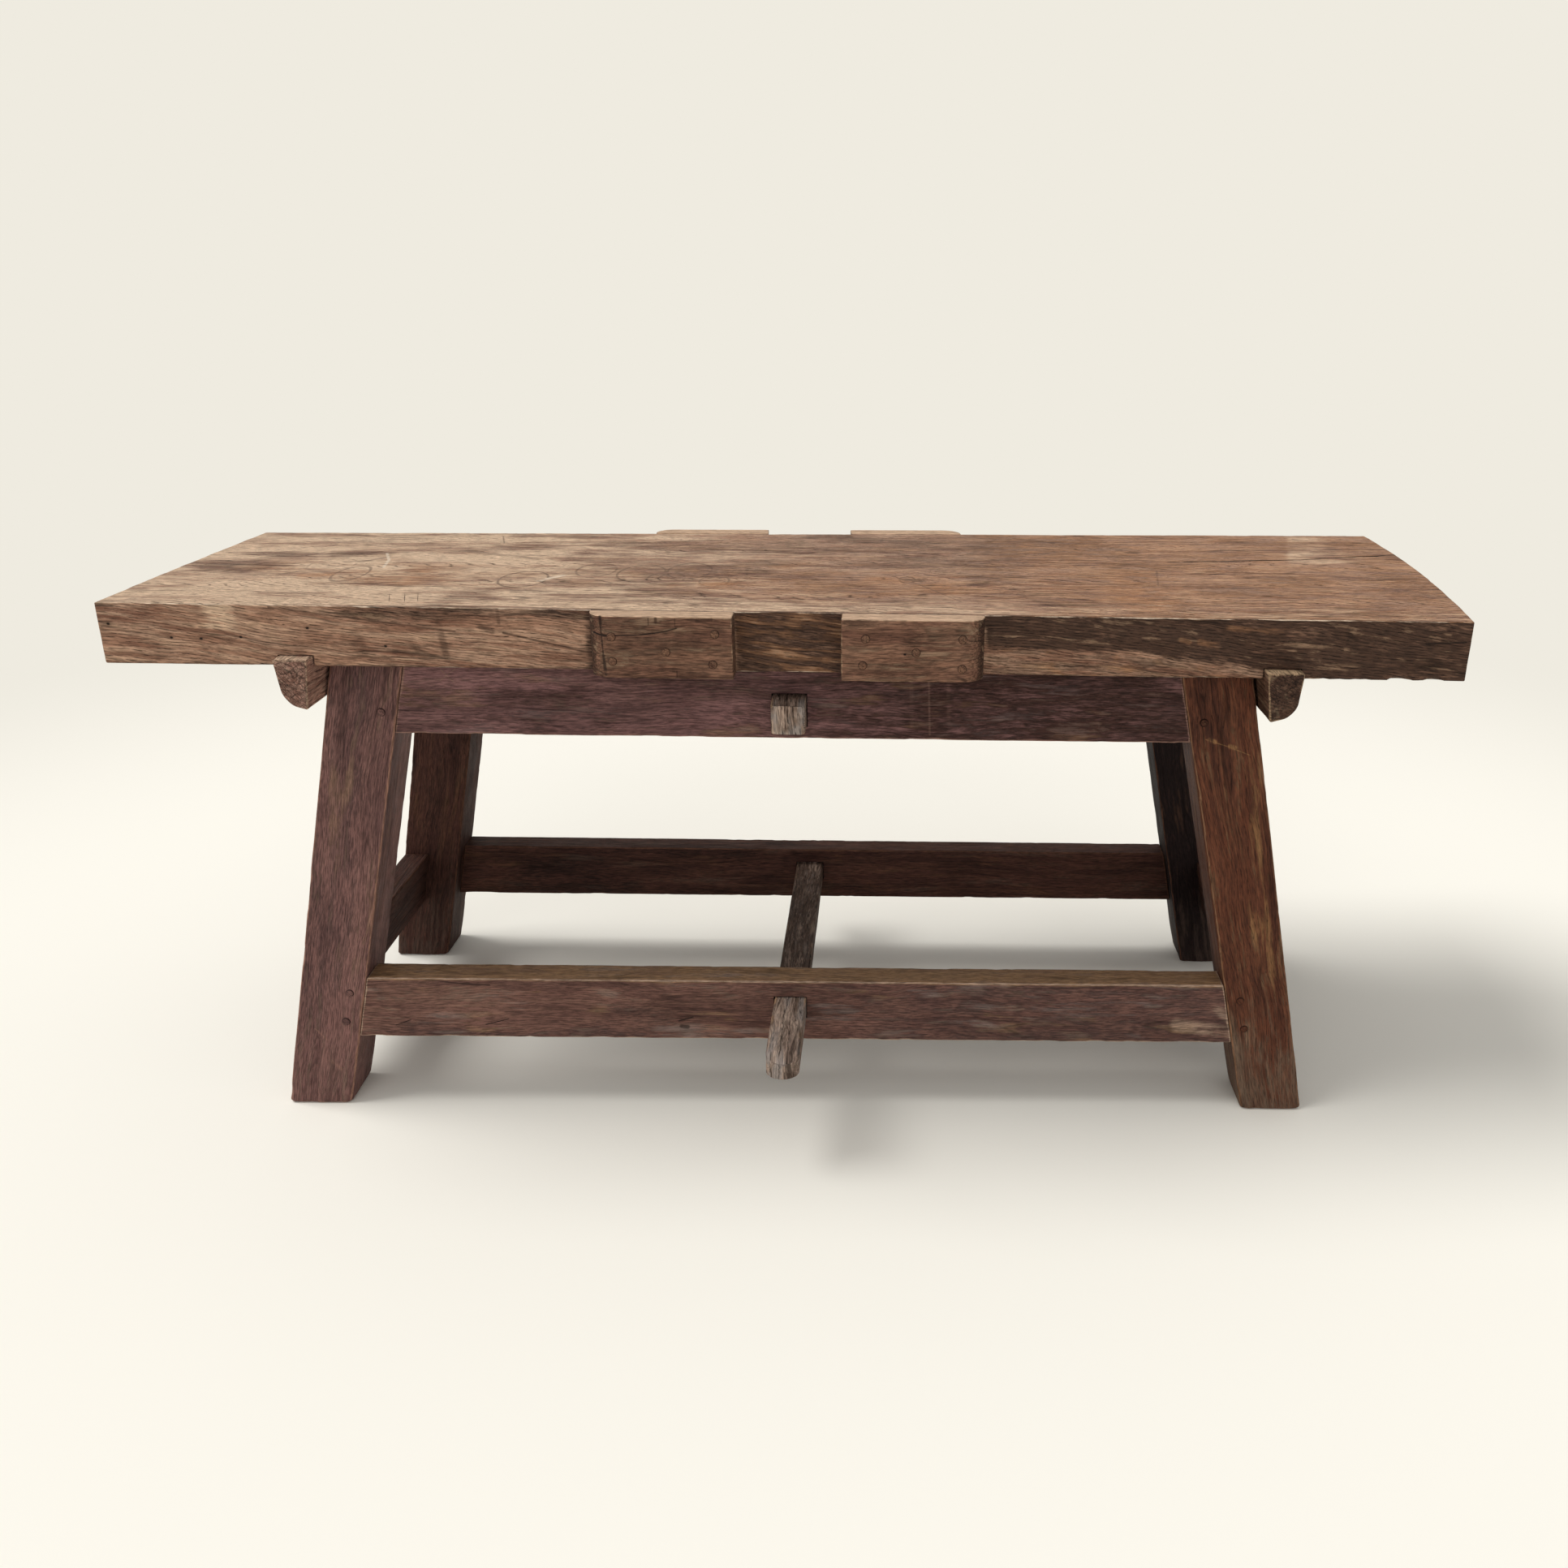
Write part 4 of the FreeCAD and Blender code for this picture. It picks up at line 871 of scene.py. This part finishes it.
# Each bar has its edges in the room, the two radii of its arrises, its seed, how dull its patina is and how
# much its tips are bevelled.
for node, body, x_edges, y_edges, z_edges, curve, seed, dull, bevel in (
        ("upper_cross_bar", "upper_bar", (-0.0615, -0.0125), (-0.2483, 0.3443), (0.621, 0.668),
         (0.007, 0.007), 141, 0.70, 0.004),
        ("lower_cross_bar", "lower_bar", (-0.0655, -0.0165), (-0.4081, 0.4081), (0.155, 0.189),
         (0.022, 0.024), 142, 0.6, 0.010)):
    corners = [(x, y, z) for z, x, y in itertools.product(z_edges, x_edges, y_edges)]
    height, width, length = [edges[1] - edges[0] for edges in (z_edges, x_edges, y_edges)]
    timber(node, body, bar_oak, corners, (height, width, length), (0.005, 0.004, 0.006), seed,
           bar_paint(seed + 10, dull), arris=0.0, end_arris=0.0026, chips=0.0, wave=0.0006,
           rounded=[(v, w, *curve) for v, w in itertools.product((-1, 1), repeat=2)], grain_order=(2, 1, 0),
           tip_order=(0, 1, 2), sawn=side_ends(2, length), bend=bar_tips(*y_edges, bevel))

# Two stout battens lie across under the top, housed 15 mm into it beside the legs. Their ends stand out
# at the front with a rounded lower corner, and show cross-hatched saw marks on the end grain.
BATTEN_TOP = 0.729
BATTEN_HEIGHT = 0.075
BATTEN_FRONT = -0.270
BATTEN_SLOPE = 0.009
BATTEN_CORNER = 0.024
BATTEN_LEG_GAP = 0.002
OUTER_LIFT = 0.009
OUTER_LEAN = 0.0045
left_batten_oak = aged_oak(
    "left_batten_oak", body="#A07869", deep="#825E50", light="#B89280", patina_and_shade="#42322C", bare="#C8AC92",
    bloom_and_sheen="#8A7566", worn="#B0917A", gloss=0.62, relief=1.5, hatch=0.35)
right_batten_oak = aged_oak(
    "right_batten_oak", body="#583E30", deep="#422D23", light="#705443", patina_and_shade="#2A2019", bare="#A68C6E",
    bloom_and_sheen="#6C5C4C", worn="#A08468", gloss=0.62, relief=1.5, hatch=0.15)


def batten_paint(world, at):
    """Patina clouds, and a pale flat where the top side shows in front of the slab."""
    top = rise(at[:, 2], 0.071, 0.074) * (1 - rise(world[:, 1], -0.2475, -0.246))
    dark = 0.5 * rise(rough(171, *(world / (0.02, 0.1, 0.02)).T), 0.5, 0.8)
    return np.column_stack([dark, top * 0.9, dark * 0.3])


# Each batten has its side, its outer face and its rear end in the room, and its width.
for node, side, outer, rear, width, oak, seed in (
        ("left_batten", -1, -0.734, 0.3110, 0.042, left_batten_oak, 161),
        ("right_batten", 1, 0.681, 0.4014, 0.046, right_batten_oak, 162)):
    corners = []
    ends = ((BATTEN_FRONT, BATTEN_SLOPE), (rear, -BATTEN_SLOPE))
    for (end_y, slope), right, lower in itertools.product(ends, (0, 1), (True, False)):
        level = BATTEN_TOP - BATTEN_HEIGHT * lower
        inner = BASE_X + side * (leg_x(min(level, LEG_HEIGHT), 0) + BATTEN_LEG_GAP)
        leaning = outer - side * OUTER_LEAN * lower
        lift = OUTER_LIFT if lower and right == (side > 0) else 0.0
        corners.append((sorted((leaning, inner))[right], end_y + slope * lower, level + lift))
    timber(node, "top", oak, corners, (rear - BATTEN_FRONT, width, BATTEN_HEIGHT),
           (0.008, 0.0040, 0.0040), seed, batten_paint, end_arris=0.0016, chips=0.0008, wave=0.0006,
           arris=(0.0, 0.003, 0.0018, 0.0018) if side < 0 else (0.003, 0.0, 0.0018, 0.0018),
           rounded=[(side, -1, BATTEN_CORNER, BATTEN_CORNER)])

# The top is one wide slab of old oak, 86 mm thick, wider at its right end, with sawn ends that bow
# slightly. Its face is scrubbed and stained, with long shakes; its front edge is chipped and wormed.
SLAB_FLOOR = 0.714
SLAB_TOP = 0.800
SLAB_FRONT = -0.248
SLAB_MIDDLE_REAR = 0.337
SLAB_LEFT = (-0.971, -0.969, -0.963)
SLAB_RIGHT = (0.913, 0.957, 0.971)
SLAB_REAR = (0.270, 0.403)
SLAB_LENGTH = 1.92
SLAB_DEPTH = 0.585
SLAB_THICKNESS = 0.086
LEFT_STRAIGHT = -0.74
RIGHT_STRAIGHT = 0.69
HOUSING_DEPTH = 0.0155
SLAB_SEED = 180
SLAB_SLOPE = 0.10


def spot(x, y, middle, reach, seed, soft=0.35, cell=0.05):
    """1 inside an oval stain, 0 outside, with an edge broken by noise."""
    far = np.hypot((x - middle[0]) / reach[0], (y - middle[1]) / reach[1])
    far = far + (rough(seed, x / cell, y / (cell * 0.6)) - 0.5) * 1.1
    return 1 - rise(far, 1 - soft, 1 + soft)


def slab_end(places, share):
    """Where a bowed end of the slab is along the table, at a share of the way from front to back."""
    first, middle, last = places
    return first + (last - first) * share + 4 * (middle - (first + last) / 2) * share * (1 - share)


def slab_back(x):
    """The slab's rear edge, which runs away from the front edge towards the right."""
    return SLAB_REAR[0] + (SLAB_REAR[1] - SLAB_REAR[0]) * (x - SLAB_LEFT[2]) / (SLAB_RIGHT[2] - SLAB_LEFT[2])


def slab_bend(world, shares):
    """Bows the two sawn ends and spreads the back edge. Between the battens the grain stays straight."""
    u, v, _ = shares.T
    front_x = SLAB_LEFT[0] + (SLAB_RIGHT[0] - SLAB_LEFT[0]) * u
    x = front_x
    for places, straight in ((SLAB_LEFT, LEFT_STRAIGHT), (SLAB_RIGHT, RIGHT_STRAIGHT)):
        near = np.clip((front_x - straight) / (places[0] - straight), 0, 1)
        x = x + (slab_end(places, v) - places[0]) * near
    return np.column_stack([x, SLAB_FRONT + (slab_back(x) - SLAB_FRONT) * v, world[:, 2]])


def slab_paint(world, at):
    """Stains of the top and of the front edge, with painted light and shade among them, placed from the
    photograph.
    """
    x, y, z = world.T
    top = rise(z, 0.7975, 0.7992)
    front = 1 - rise(y, SLAB_FRONT + 0.001, SLAB_FRONT + 0.012)
    dark = 0.50 * rise(rough(201, x / 0.12, y / 0.045), 0.45, 0.75) * (0.5 + 0.5 * rise(x, -0.80, -0.60))
    # Dark stains, each with its middle, its two half sizes, its strength and its seed.
    for middle, reach, strength, seed in (((-0.90, 0.00), (0.07, 0.05), 0.55, 211),
                                          ((-0.86, 0.09), (0.06, 0.025), 0.55, 212),
                                          ((-0.755, 0.105), (0.06, 0.035), 0.62, 213),
                                          ((-0.25, 0.00), (0.16, 0.08), 0.42, 214),
                                          ((-0.10, 0.20), (0.20, 0.06), 0.36, 215),
                                          ((0.36, 0.24), (0.15, 0.12), 0.62, 216),
                                          ((0.18, 0.10), (0.16, 0.06), 0.45, 217),
                                          ((0.73, -0.005), (0.06, 0.04), 0.58, 218),
                                          ((0.90, 0.05), (0.06, 0.20), 0.45, 219)):
        dark = np.maximum(dark, strength * spot(x, y, middle, reach, seed, soft=0.5))
    dark = dark * top
    # The front edge: patina over its upper part on the right, ending in a ragged line, in the gap between
    # the blocks and under the upper arris, and painted shade in the corner beside the left block.
    right_half = rise(x, 0.235, 0.245) * front
    between_blocks = band(x, -0.11, -0.10, 0.038, 0.048) * front
    low_line = np.interp(x, [0.24, 0.45, 0.60, 0.70], [0.752, 0.745, 0.733, 0.712])
    above = rise(z + (rough(231, x / 0.05, z / 0.02) - 0.5) * 0.014, low_line - 0.004, low_line + 0.007)
    faded = 0.18 * rise(x, 0.60, 0.66) + 0.20 * rise(rough(232, x / 0.09, z / 0.012), 0.55, 0.8)
    under_arris = front * rise(z, 0.775, 0.790) * rise(rough(238, x / 0.12), 0.30, 0.60)
    for part in (right_half * (above * (1.15 - faded) + 0.40 * (1 - above)), 0.95 * between_blocks,
                 0.66 * under_arris * rise(x, -0.80, -0.60),
                 # Painted shade in the corner beside the left block's rounded end.
                 0.85 * front * band(x, -0.318, -0.304, -0.29, -0.28)):
        dark = np.maximum(dark, part)
    dabs = rise(rough(236, x / 0.030, z / 0.014), 0.50, 0.72)
    bare = right_half * (1 - above) * (0.08 + 0.40 * dabs) * (1 - rise(x, 0.60, 0.70))
    bare = np.maximum(bare, 0.22 * between_blocks)
    bare = np.maximum(bare, 0.30 * right_half * spot(x, z, (0.61, 0.786), (0.07, 0.007), 237))
    # The top: warm scrubbed patches; painted light that makes the left paler with pale streaks and the right
    # darker and warmer; paler along the front; and a painted sheen, a pale pane, at each far corner. The
    # front edge has one pale rub at its left end.
    warm = spot(x, y, (0.468, -0.07), (0.055, 0.14), 240, 0.7, 0.03)
    for strength, *oval in ((0.7, (0.02, -0.06), (0.24, 0.10), 241, 0.7),
                            (0.8, (-0.17, -0.085), (0.07, 0.035), 242, 0.5),
                            (0.7, (-0.55, -0.02), (0.28, 0.11), 243, 0.6)):
        warm = np.maximum(warm, strength * spot(x, y, *oval))
    bare = np.maximum(bare, (0.60 * warm + 0.22 * rise(rough(244, x / 0.22, y / 0.05), 0.4, 0.7)) * top)
    # Painted light: the left part of the top is paler, with pale streaks, as if lit from the left.
    streaks = rise(rough(246, x / 0.12, y / 0.03), 0.35, 0.65) * (1 - rise(x, -0.35, 0.30))
    pale = 0.10 + 0.42 * (1 - rise(x, -0.45, -0.1)) + 0.50 * streaks
    near_front = 1 - rise(y, -0.245, -0.09)
    pale = np.maximum(pale, (0.80 - 0.45 * rise(x, -0.3, 0.5)) * near_front) * top
    # Painted sheen: a pale pane near each far corner stands in for a reflection on the waxed top.
    left_edge = (y - 0.14) * 0.25
    left_sheen = band(x, -0.845 - left_edge, -0.835 - left_edge, -0.735, -0.720) * rise(y, 0.13, 0.18)
    pale = np.maximum(pale, 0.42 * left_sheen * top)
    right_edge = (y - 0.117) * 0.27
    right_sheen = band(x, 0.743 + right_edge, 0.755 + right_edge, 0.84, 0.93) * rise(y, 0.09, 0.16)
    pale = np.maximum(pale, 0.50 * right_sheen * top)
    pale = np.maximum(pale, 0.45 * front * band(x, -0.83, -0.82, -0.79, -0.78) * rise(z, 0.755, 0.775))
    pale = pale * (1 - np.clip(1.2 * dark * top, 0, 1))
    # Darker and warmer towards the right: partly the wood's own warm tone, partly painted shade away from
    # the light on the left.
    bare = np.maximum(bare, top * 0.46 * rise(x, 0.05, 0.40))
    dark = np.maximum(dark, front * 0.95 * rise(x, 0.60, 0.68))
    # Painted shade along the bottom of the slab: its lowest 8 mm and its underside are darkened.
    return np.column_stack([np.maximum(dark, 0.6 * (1 - rise(z, 0.7145, 0.722))), bare, pale])


def slab_along(x):
    """Distance along the slab's front edge in its own lattice, for a place across the room."""
    return (x - SLAB_LEFT[0]) / (SLAB_RIGHT[0] - SLAB_LEFT[0]) * SLAB_LENGTH


def slab_point(x, y):
    """Lattice places along and across for a place on the top."""
    v = (y - SLAB_FRONT) / (slab_back(x) - SLAB_FRONT)
    knots = (slab_end(SLAB_LEFT, v), LEFT_STRAIGHT, RIGHT_STRAIGHT, slab_end(SLAB_RIGHT, v))
    u = np.interp(x, knots, (0, slab_along(LEFT_STRAIGHT), slab_along(RIGHT_STRAIGHT), SLAB_LENGTH))
    return float(u), v * SLAB_DEPTH


def slab_grain(x, y, z=SLAB_TOP):
    """The grain coordinates of a place on the slab."""
    u, v = slab_point(x, y)
    return grain_at(SLAB_SEED, u, v, z - SLAB_FLOOR + SLAB_SLOPE * u)


def on_edge(x, z):
    """The grain coordinates of a place on the slab's front edge."""
    return slab_grain(x, SLAB_FRONT, z)


# Rings left by cups and jars, each with its middle, its two half sizes, its strength and how broken it
# is. Then smears, knots and thin dark lines, first on the top and then on the front edge.
CUP_RINGS = ((-0.702, -0.043, (0.023, 0.058), 0.55, 0.5), (-0.440, -0.064, (0.035, 0.057), 0.60, 0.6),
             (-0.346, 0.006, (0.030, 0.050), 0.45, 0.9), (-0.274, -0.012, (0.036, 0.062), 0.45, 0.9),
             (-0.232, -0.044, (0.028, 0.044), 0.42, 0.9), (-0.204, 0.011, (0.034, 0.056), 0.50, 0.8),
             (-0.158, -0.056, (0.022, 0.036), 0.42, 0.8), (-0.752, 0.016, (0.034, 0.050), 0.30, 0.9),
             (0.131, -0.030, (0.012, 0.020), 0.55, 0.3))
slab_stains = [(slab_grain(x, y), reach, 0.0021, strength, broken)
               for x, y, reach, strength, broken in CUP_RINGS]
slab_stains += strokes(
    slab_grain,
    (((-0.739, 0.038), (-0.713, 0.046), (-0.689, 0.079)), 0.006, 0.55, 0.5),
    (((-0.800, -0.052), (-0.775, -0.022), (-0.745, -0.030)), 0.006, 0.45, 0.6),
    (((-0.43, -0.145), (-0.36, -0.158)), 0.012, 0.42, 0.9),
    (((-0.59, 0.140), (-0.455, 0.085)), 0.008, 0.42, 1.0),
    (((0.131, -0.028), (0.152, -0.036)), 0.009, 0.60),
    (((0.140, -0.046), (0.207, -0.169)), 0.0018, 0.5),
    (((0.528, 0.064), (0.510, -0.049)), 0.0020, 0.40),
    (((0.506, -0.052), (0.518, -0.058)), 0.009, 0.35))
slab_stains += strokes(
    on_edge,
    (((-0.737, 0.796), (-0.489, 0.766)), 0.0016, 0.75, 0.2),
    (((-0.423, 0.765), (-0.303, 0.738)), 0.0020, 0.80, 0.2),
    (((-0.655, 0.748), (-0.47, 0.724)), 0.0014, 0.70, 0.3),
    (((-0.510, 0.774), (-0.504, 0.731)), 0.006, 0.55, 0.9),
    (((-0.429, 0.797), (-0.428, 0.779)), 0.003, 0.55, 0.6),
    (((-0.453, 0.774), (-0.439, 0.767)), 0.005, 0.60, 0.4),
    (((-0.625, 0.760), (-0.618, 0.735)), 0.010, 0.40, 0.8),
    (((0.705, 0.777), (0.709, 0.775)), 0.012, 0.90, 0.2),
    (((0.735, 0.745), (0.775, 0.742)), 0.011, 0.80, 0.4),
    (((0.850, 0.760), (0.862, 0.752)), 0.012, 0.75, 0.4))
slab_scratches = strokes(
    slab_grain,
    (((-0.702, 0.111), (-0.680, 0.057), (-0.669, 0.000)), 0.0026, 1.0, 0.1),
    (((-0.414, -0.075), (-0.402, -0.055), (-0.388, -0.036)), 0.0055, 1.0, 0.5),
    (((0.45, -0.168), (0.505, -0.176)), 0.003, 0.35, 0.8))
slab_flecks = strokes(
    slab_grain,
    (((-0.764, -0.060), (-0.732, -0.052)), 0.014, 0.75, 0.5),
    (((-0.165, -0.080), (-0.140, -0.076)), 0.016, 0.70, 0.5),
    (((0.080, -0.028), (0.112, -0.030)), 0.016, 0.65, 0.5),
    (((0.430, -0.120), (0.500, -0.080)), 0.034, 0.30, 1.0),
    (((0.465, 0.050), (0.505, 0.010)), 0.022, 0.30, 1.0))
slab_flecks += strokes(
    on_edge,
    (((0.508, 0.769), (0.520, 0.766)), 0.004, 0.30, 1.0),
    (((0.535, 0.766), (0.560, 0.761)), 0.005, 0.32, 1.0))
slab_cracks_and_shadow_line = strokes(
    slab_grain,
    (((-0.557, 0.262), (-0.540, 0.205)), 0.0014, 0.5),
    (((-0.542, 0.206), (-0.330, 0.228), (-0.172, 0.272)), 0.0016, 0.8, 0.4),
    (((0.561, 0.136), (0.791, 0.171), (0.972, 0.226)), 0.0026, 0.9, 0.2),
    (((-0.600, -0.171), (-0.585, -0.215)), 0.0008, 0.7),
    (((-0.5785, -0.171), (-0.564, -0.215)), 0.0008, 0.7),
    (((-0.561, -0.168), (-0.547, -0.212)), 0.0008, 0.7))
slab_cracks_and_shadow_line += strokes(
    on_edge,
    (((0.29, 0.732), (0.40, 0.728)), 0.0010, 0.8, 0.4),
    (((0.905, 0.771), (0.85, 0.768)), 0.0012, 0.8, 0.3),
    # Painted shadow: a thin black line along the slab's lower front edge, for the shade in the gap above the
    # apron.
    (((-0.106, 0.7146), (0.63, 0.7146)), 0.0014, 0.85, 0.3))
WORM_HOLES = ((-0.957, 0.770), (-0.875, 0.752), (-0.835, 0.751), (-0.781, 0.754), (-0.689, 0.768),
              (-0.586, 0.744))
slab_cracks_and_shadow_line += strokes(on_edge, *[(((x, z), (x + 0.001, z)), 0.0019, 1.0, 0.0) for x, z in WORM_HOLES])
slab_oak = aged_oak(
    "slab_oak", body="#99755E", deep="#714E3D", light="#B4947B", patina_and_shade="#432F24", bare="#A27350",
    bloom_and_sheen="#CDAF92", worn="#D6C0A8", gloss=0.62, pores=1.0, rings=(110.0, 230.0), stains=slab_stains,
    scratches=slab_scratches, flecks=slab_flecks, cracks_and_shadow_lines=slab_cracks_and_shadow_line)

# Two long shakes are open enough to be cut into the top side: their course, width and depth.
TOP_SIDE = (2, True)
slab_shakes = [(TOP_SIDE, [slab_point(*place) for place in places], *opening) for *places, opening in (
    ((-0.542, 0.206), (-0.440, 0.230), (-0.330, 0.226), (-0.251, 0.243), (-0.172, 0.272), (0.0024, 0.006)),
    ((0.561, 0.136), (0.685, 0.151), (0.791, 0.171), (0.883, 0.199), (0.950, 0.220), (0.0028, 0.009)))]
housings = [((slab_along(a), slab_along(b)), (0.0, SLAB_DEPTH), (0.0, HOUSING_DEPTH))
            for a, b in ((-0.7345, -0.6855), (0.6275, 0.6815))]


def slab_chips(u):
    """Small losses along the whole front edge, and a ragged lower edge near its right end."""
    every = np.full((len(u), 4), 0.0024)
    every[:, 0] += 0.007 * rise(u, slab_along(0.62), slab_along(0.72))
    every[:, 2] = 0.0014
    return every


corners = [*itertools.product((SLAB_LEFT[0], SLAB_RIGHT[0]), (SLAB_FRONT, SLAB_MIDDLE_REAR),
                              (SLAB_FLOOR, SLAB_TOP))]
timber("top_slab", "top", slab_oak, corners, (SLAB_LENGTH, SLAB_DEPTH, SLAB_THICKNESS),
       (0.0075, 0.006, 0.0045), SLAB_SEED, slab_paint, cuts=housings, arris=(0.0018, 0.0018, 0.0009, 0.0014),
       chips=slab_chips, end_arris=0.0025, wave=0.0010, shakes=slab_shakes, bend=slab_bend,
       grain_slope=SLAB_SLOPE, worn=(0.4, 0.4, 0.6, 1))

# Four cheek blocks are pegged to the long edges, two in front and two behind, with a gap between each
# pair. Their far upright corners are rounded, and each is held by five pegs.
BLOCK_PEG_DEPTH = 0.042
BLOCK_LENGTH = 0.196
BLOCK_DEPTH = 0.037
BLOCK_CURVE = (0.032, 0.030)
# The places of the pegs, as shares of the length from a block's outer end and of the height.
BLOCK_PEGS = {
    "front_left": [(0.17, 0.67), (0.17, 0.27), (0.54, 0.43), (0.88, 0.73), (0.86, 0.24)],
    "front_right": [(0.16, 0.70), (0.16, 0.22), (0.48, 0.48), (0.83, 0.69), (0.85, 0.26)],
    "rear_left": [(0.18, 0.70), (0.17, 0.26), (0.50, 0.46), (0.84, 0.72), (0.85, 0.25)],
    "rear_right": [(0.17, 0.69), (0.18, 0.25), (0.51, 0.49), (0.86, 0.71), (0.84, 0.27)]}
REAR_TURN = math.atan2(SLAB_REAR[1] - SLAB_REAR[0], SLAB_RIGHT[2] - SLAB_LEFT[2])


def on_block(seed):
    """The grain coordinates of a front block, from shares along and up and a distance out."""
    return lambda along, out, up: grain_at(seed, BLOCK_LENGTH * along, out, SLAB_THICKNESS * up)


# The left block has a check through its upper outer peg, and a row of chatter marks where the curve
# begins. The right one has short checks behind its outer pegs and a worm hole.
block_cracks = strokes(
    on_block(249),
    (((0, 0.007, 0.74), (0.05, 0.0286, 0.71), (0.105, 0.035, 0.69), (0.14, 0.037, 0.69)), 0.0013, 0.95, 0.1),
    (((0.19, 0.037, 0.69), (0.38, 0.037, 0.71), (0.53, 0.037, 0.76), (0.62, 0.037, 0.82)), 0.0010, 0.9, 0.2),
    (((0.10, 0.0345, 0.98), (0.102, 0.0345, 0.85)), 0.0024, 0.8, 0.5),
    (((0.10, 0.0345, 0.84), (0.108, 0.0350, 0.36)), 0.0012, 0.7, 0.9),
    (((0.108, 0.0350, 0.36), (0.118, 0.0355, 0.06)), 0.0024, 0.75, 0.7),
    (((0.43, 0.037, 0.98), (0.43, 0.037, 0.86)), 0.0007, 0.7),
    (((0.61, 0.037, 0.97), (0.61, 0.037, 0.84)), 0.0007, 0.7),
    (((0.61, 0.037, 0.13), (0.61, 0.037, 0.03)), 0.0007, 0.6),
    (((0.0, 0.0024, 0.997), (1.0, 0.0020, 0.997)), 0.0020, 1.0, 0.1))
block_cracks += strokes(
    on_block(251),
    (((0.0, 0.0012, 0.997), (1.0, 0.0012, 0.997)), 0.0014, 0.7, 0.5),
    (((0.87, 0.0367, 0.68), (0.92, 0.0328, 0.67), (0.97, 0.0243, 0.65)), 0.0007, 0.8),
    (((0.88, 0.0365, 0.26), (0.93, 0.0320, 0.25)), 0.0007, 0.7),
    (((0.44, 0.037, 0.45), (0.444, 0.037, 0.45)), 0.0016, 1.0, 0.0))
block_stains = strokes(
    on_block(249),
    (((0.48, 0.037, 0.97), (0.48, 0.037, 0.91)), 0.0024, 0.8),
    (((0.76, 0.037, 0.94), (0.86, 0.037, 0.97)), 0.0026, 0.7, 0.7),
    (((0.25, 0.037, 0.55), (0.75, 0.037, 0.60)), 0.012, 0.40, 1.0))
block_stains += strokes(
    on_block(251),
    (((0.04, 0.037, 0.95), (0.30, 0.037, 0.97)), 0.005, 0.55, 0.8),
    (((0.62, 0.037, 0.72), (0.85, 0.037, 0.84)), 0.006, 0.45, 1.0),
    (((0.80, 0.037, 0.10), (0.87, 0.0365, 0.03)), 0.0024, 0.8, 0.6))
block_oak = aged_oak(
    "block_oak", stains=block_stains, cracks_and_shadow_lines=block_cracks, body="#7A5946", deep="#634436", light="#8E6C56",
    patina_and_shade="#3E2A20", bare="#A08064", bloom_and_sheen="#C0A084", worn="#A88A6E", gloss=0.68, lines=0.5, pores=0.45)


def block_paint(side):
    """Patina clouds, painted shade round the curve at a block's far end, and a pale top side."""
    def paint(world, at):
        clouds = rise(rough(260 + side, *(world / (0.06, 0.03, 0.03)).T), 0.45, 0.7)
        dark = np.maximum(0.45 * clouds, 0.42 if side < 0 else 0.30)
        from_curve = at[:, 1] if side < 0 else BLOCK_LENGTH - at[:, 1]
        # Painted shade: darkest round the curve, where the rounded far end turns from the light.
        dark = np.maximum(dark, 0.75 * (1 - rise(from_curve, 0.0, 0.026)))
        top = rise(at[:, 0], 0.0843, 0.0856)
        return np.column_stack([dark * (1 - top), 0 * top, top])
    return paint


for (row, row_name), (side, side_name) in itertools.product(ROWS, SIDES):
    place = f"{row_name}_{side_name}"
    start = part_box(place + "_block")[0]
    start.z = SLAB_FLOOR
    if row < 0:
        along = Vector((1, 0, 0))
        away = Vector((0, -1, 0))
        start.y = SLAB_FRONT
    else:
        along = Vector((math.cos(REAR_TURN), math.sin(REAR_TURN), 0))
        away = Vector((-math.sin(REAR_TURN), math.cos(REAR_TURN), 0))
        start.x += BLOCK_DEPTH * math.sin(REAR_TURN)
        start.y = slab_back(start.x)
    up = Vector((0, 0, SLAB_THICKNESS))
    corners = [start + along * BLOCK_LENGTH * a + away * BLOCK_DEPTH * d + up * h
               for h, a, d in itertools.product((0, 1), repeat=3)]
    number = side + 3 * (row > 0)
    far_arrises = (0.0, 0.0012) if side < 0 else (0.0012, 0.0)
    timber(place + "_block", "top", block_oak, corners,
           (SLAB_THICKNESS, BLOCK_LENGTH, BLOCK_DEPTH), (0.004, 0.0045, 0.0045), 250 + number,
           block_paint(side), arris=(0.0012, 0.0012, *far_arrises), end_arris=(0.0016, 0.0014), chips=0.0007,
           wave=0.0006, rounded=[(side, 1, *BLOCK_CURVE)], worn=(0.4, 0.4, 0.6, 0.6), grain_order=(1, 2, 0),
           sawn=side_ends(1, BLOCK_LENGTH))
    heads = []
    for share_out, share_up in BLOCK_PEGS[place]:
        distance = BLOCK_LENGTH * (share_out if side < 0 else 1 - share_out)
        heads.append((tuple(start + along * distance + away * BLOCK_DEPTH + up * share_up), tuple(away)))
    peg_group(place + "_block_pegs", "top", peg_oak, heads, BLOCK_PEG_DEPTH, 270 + number)
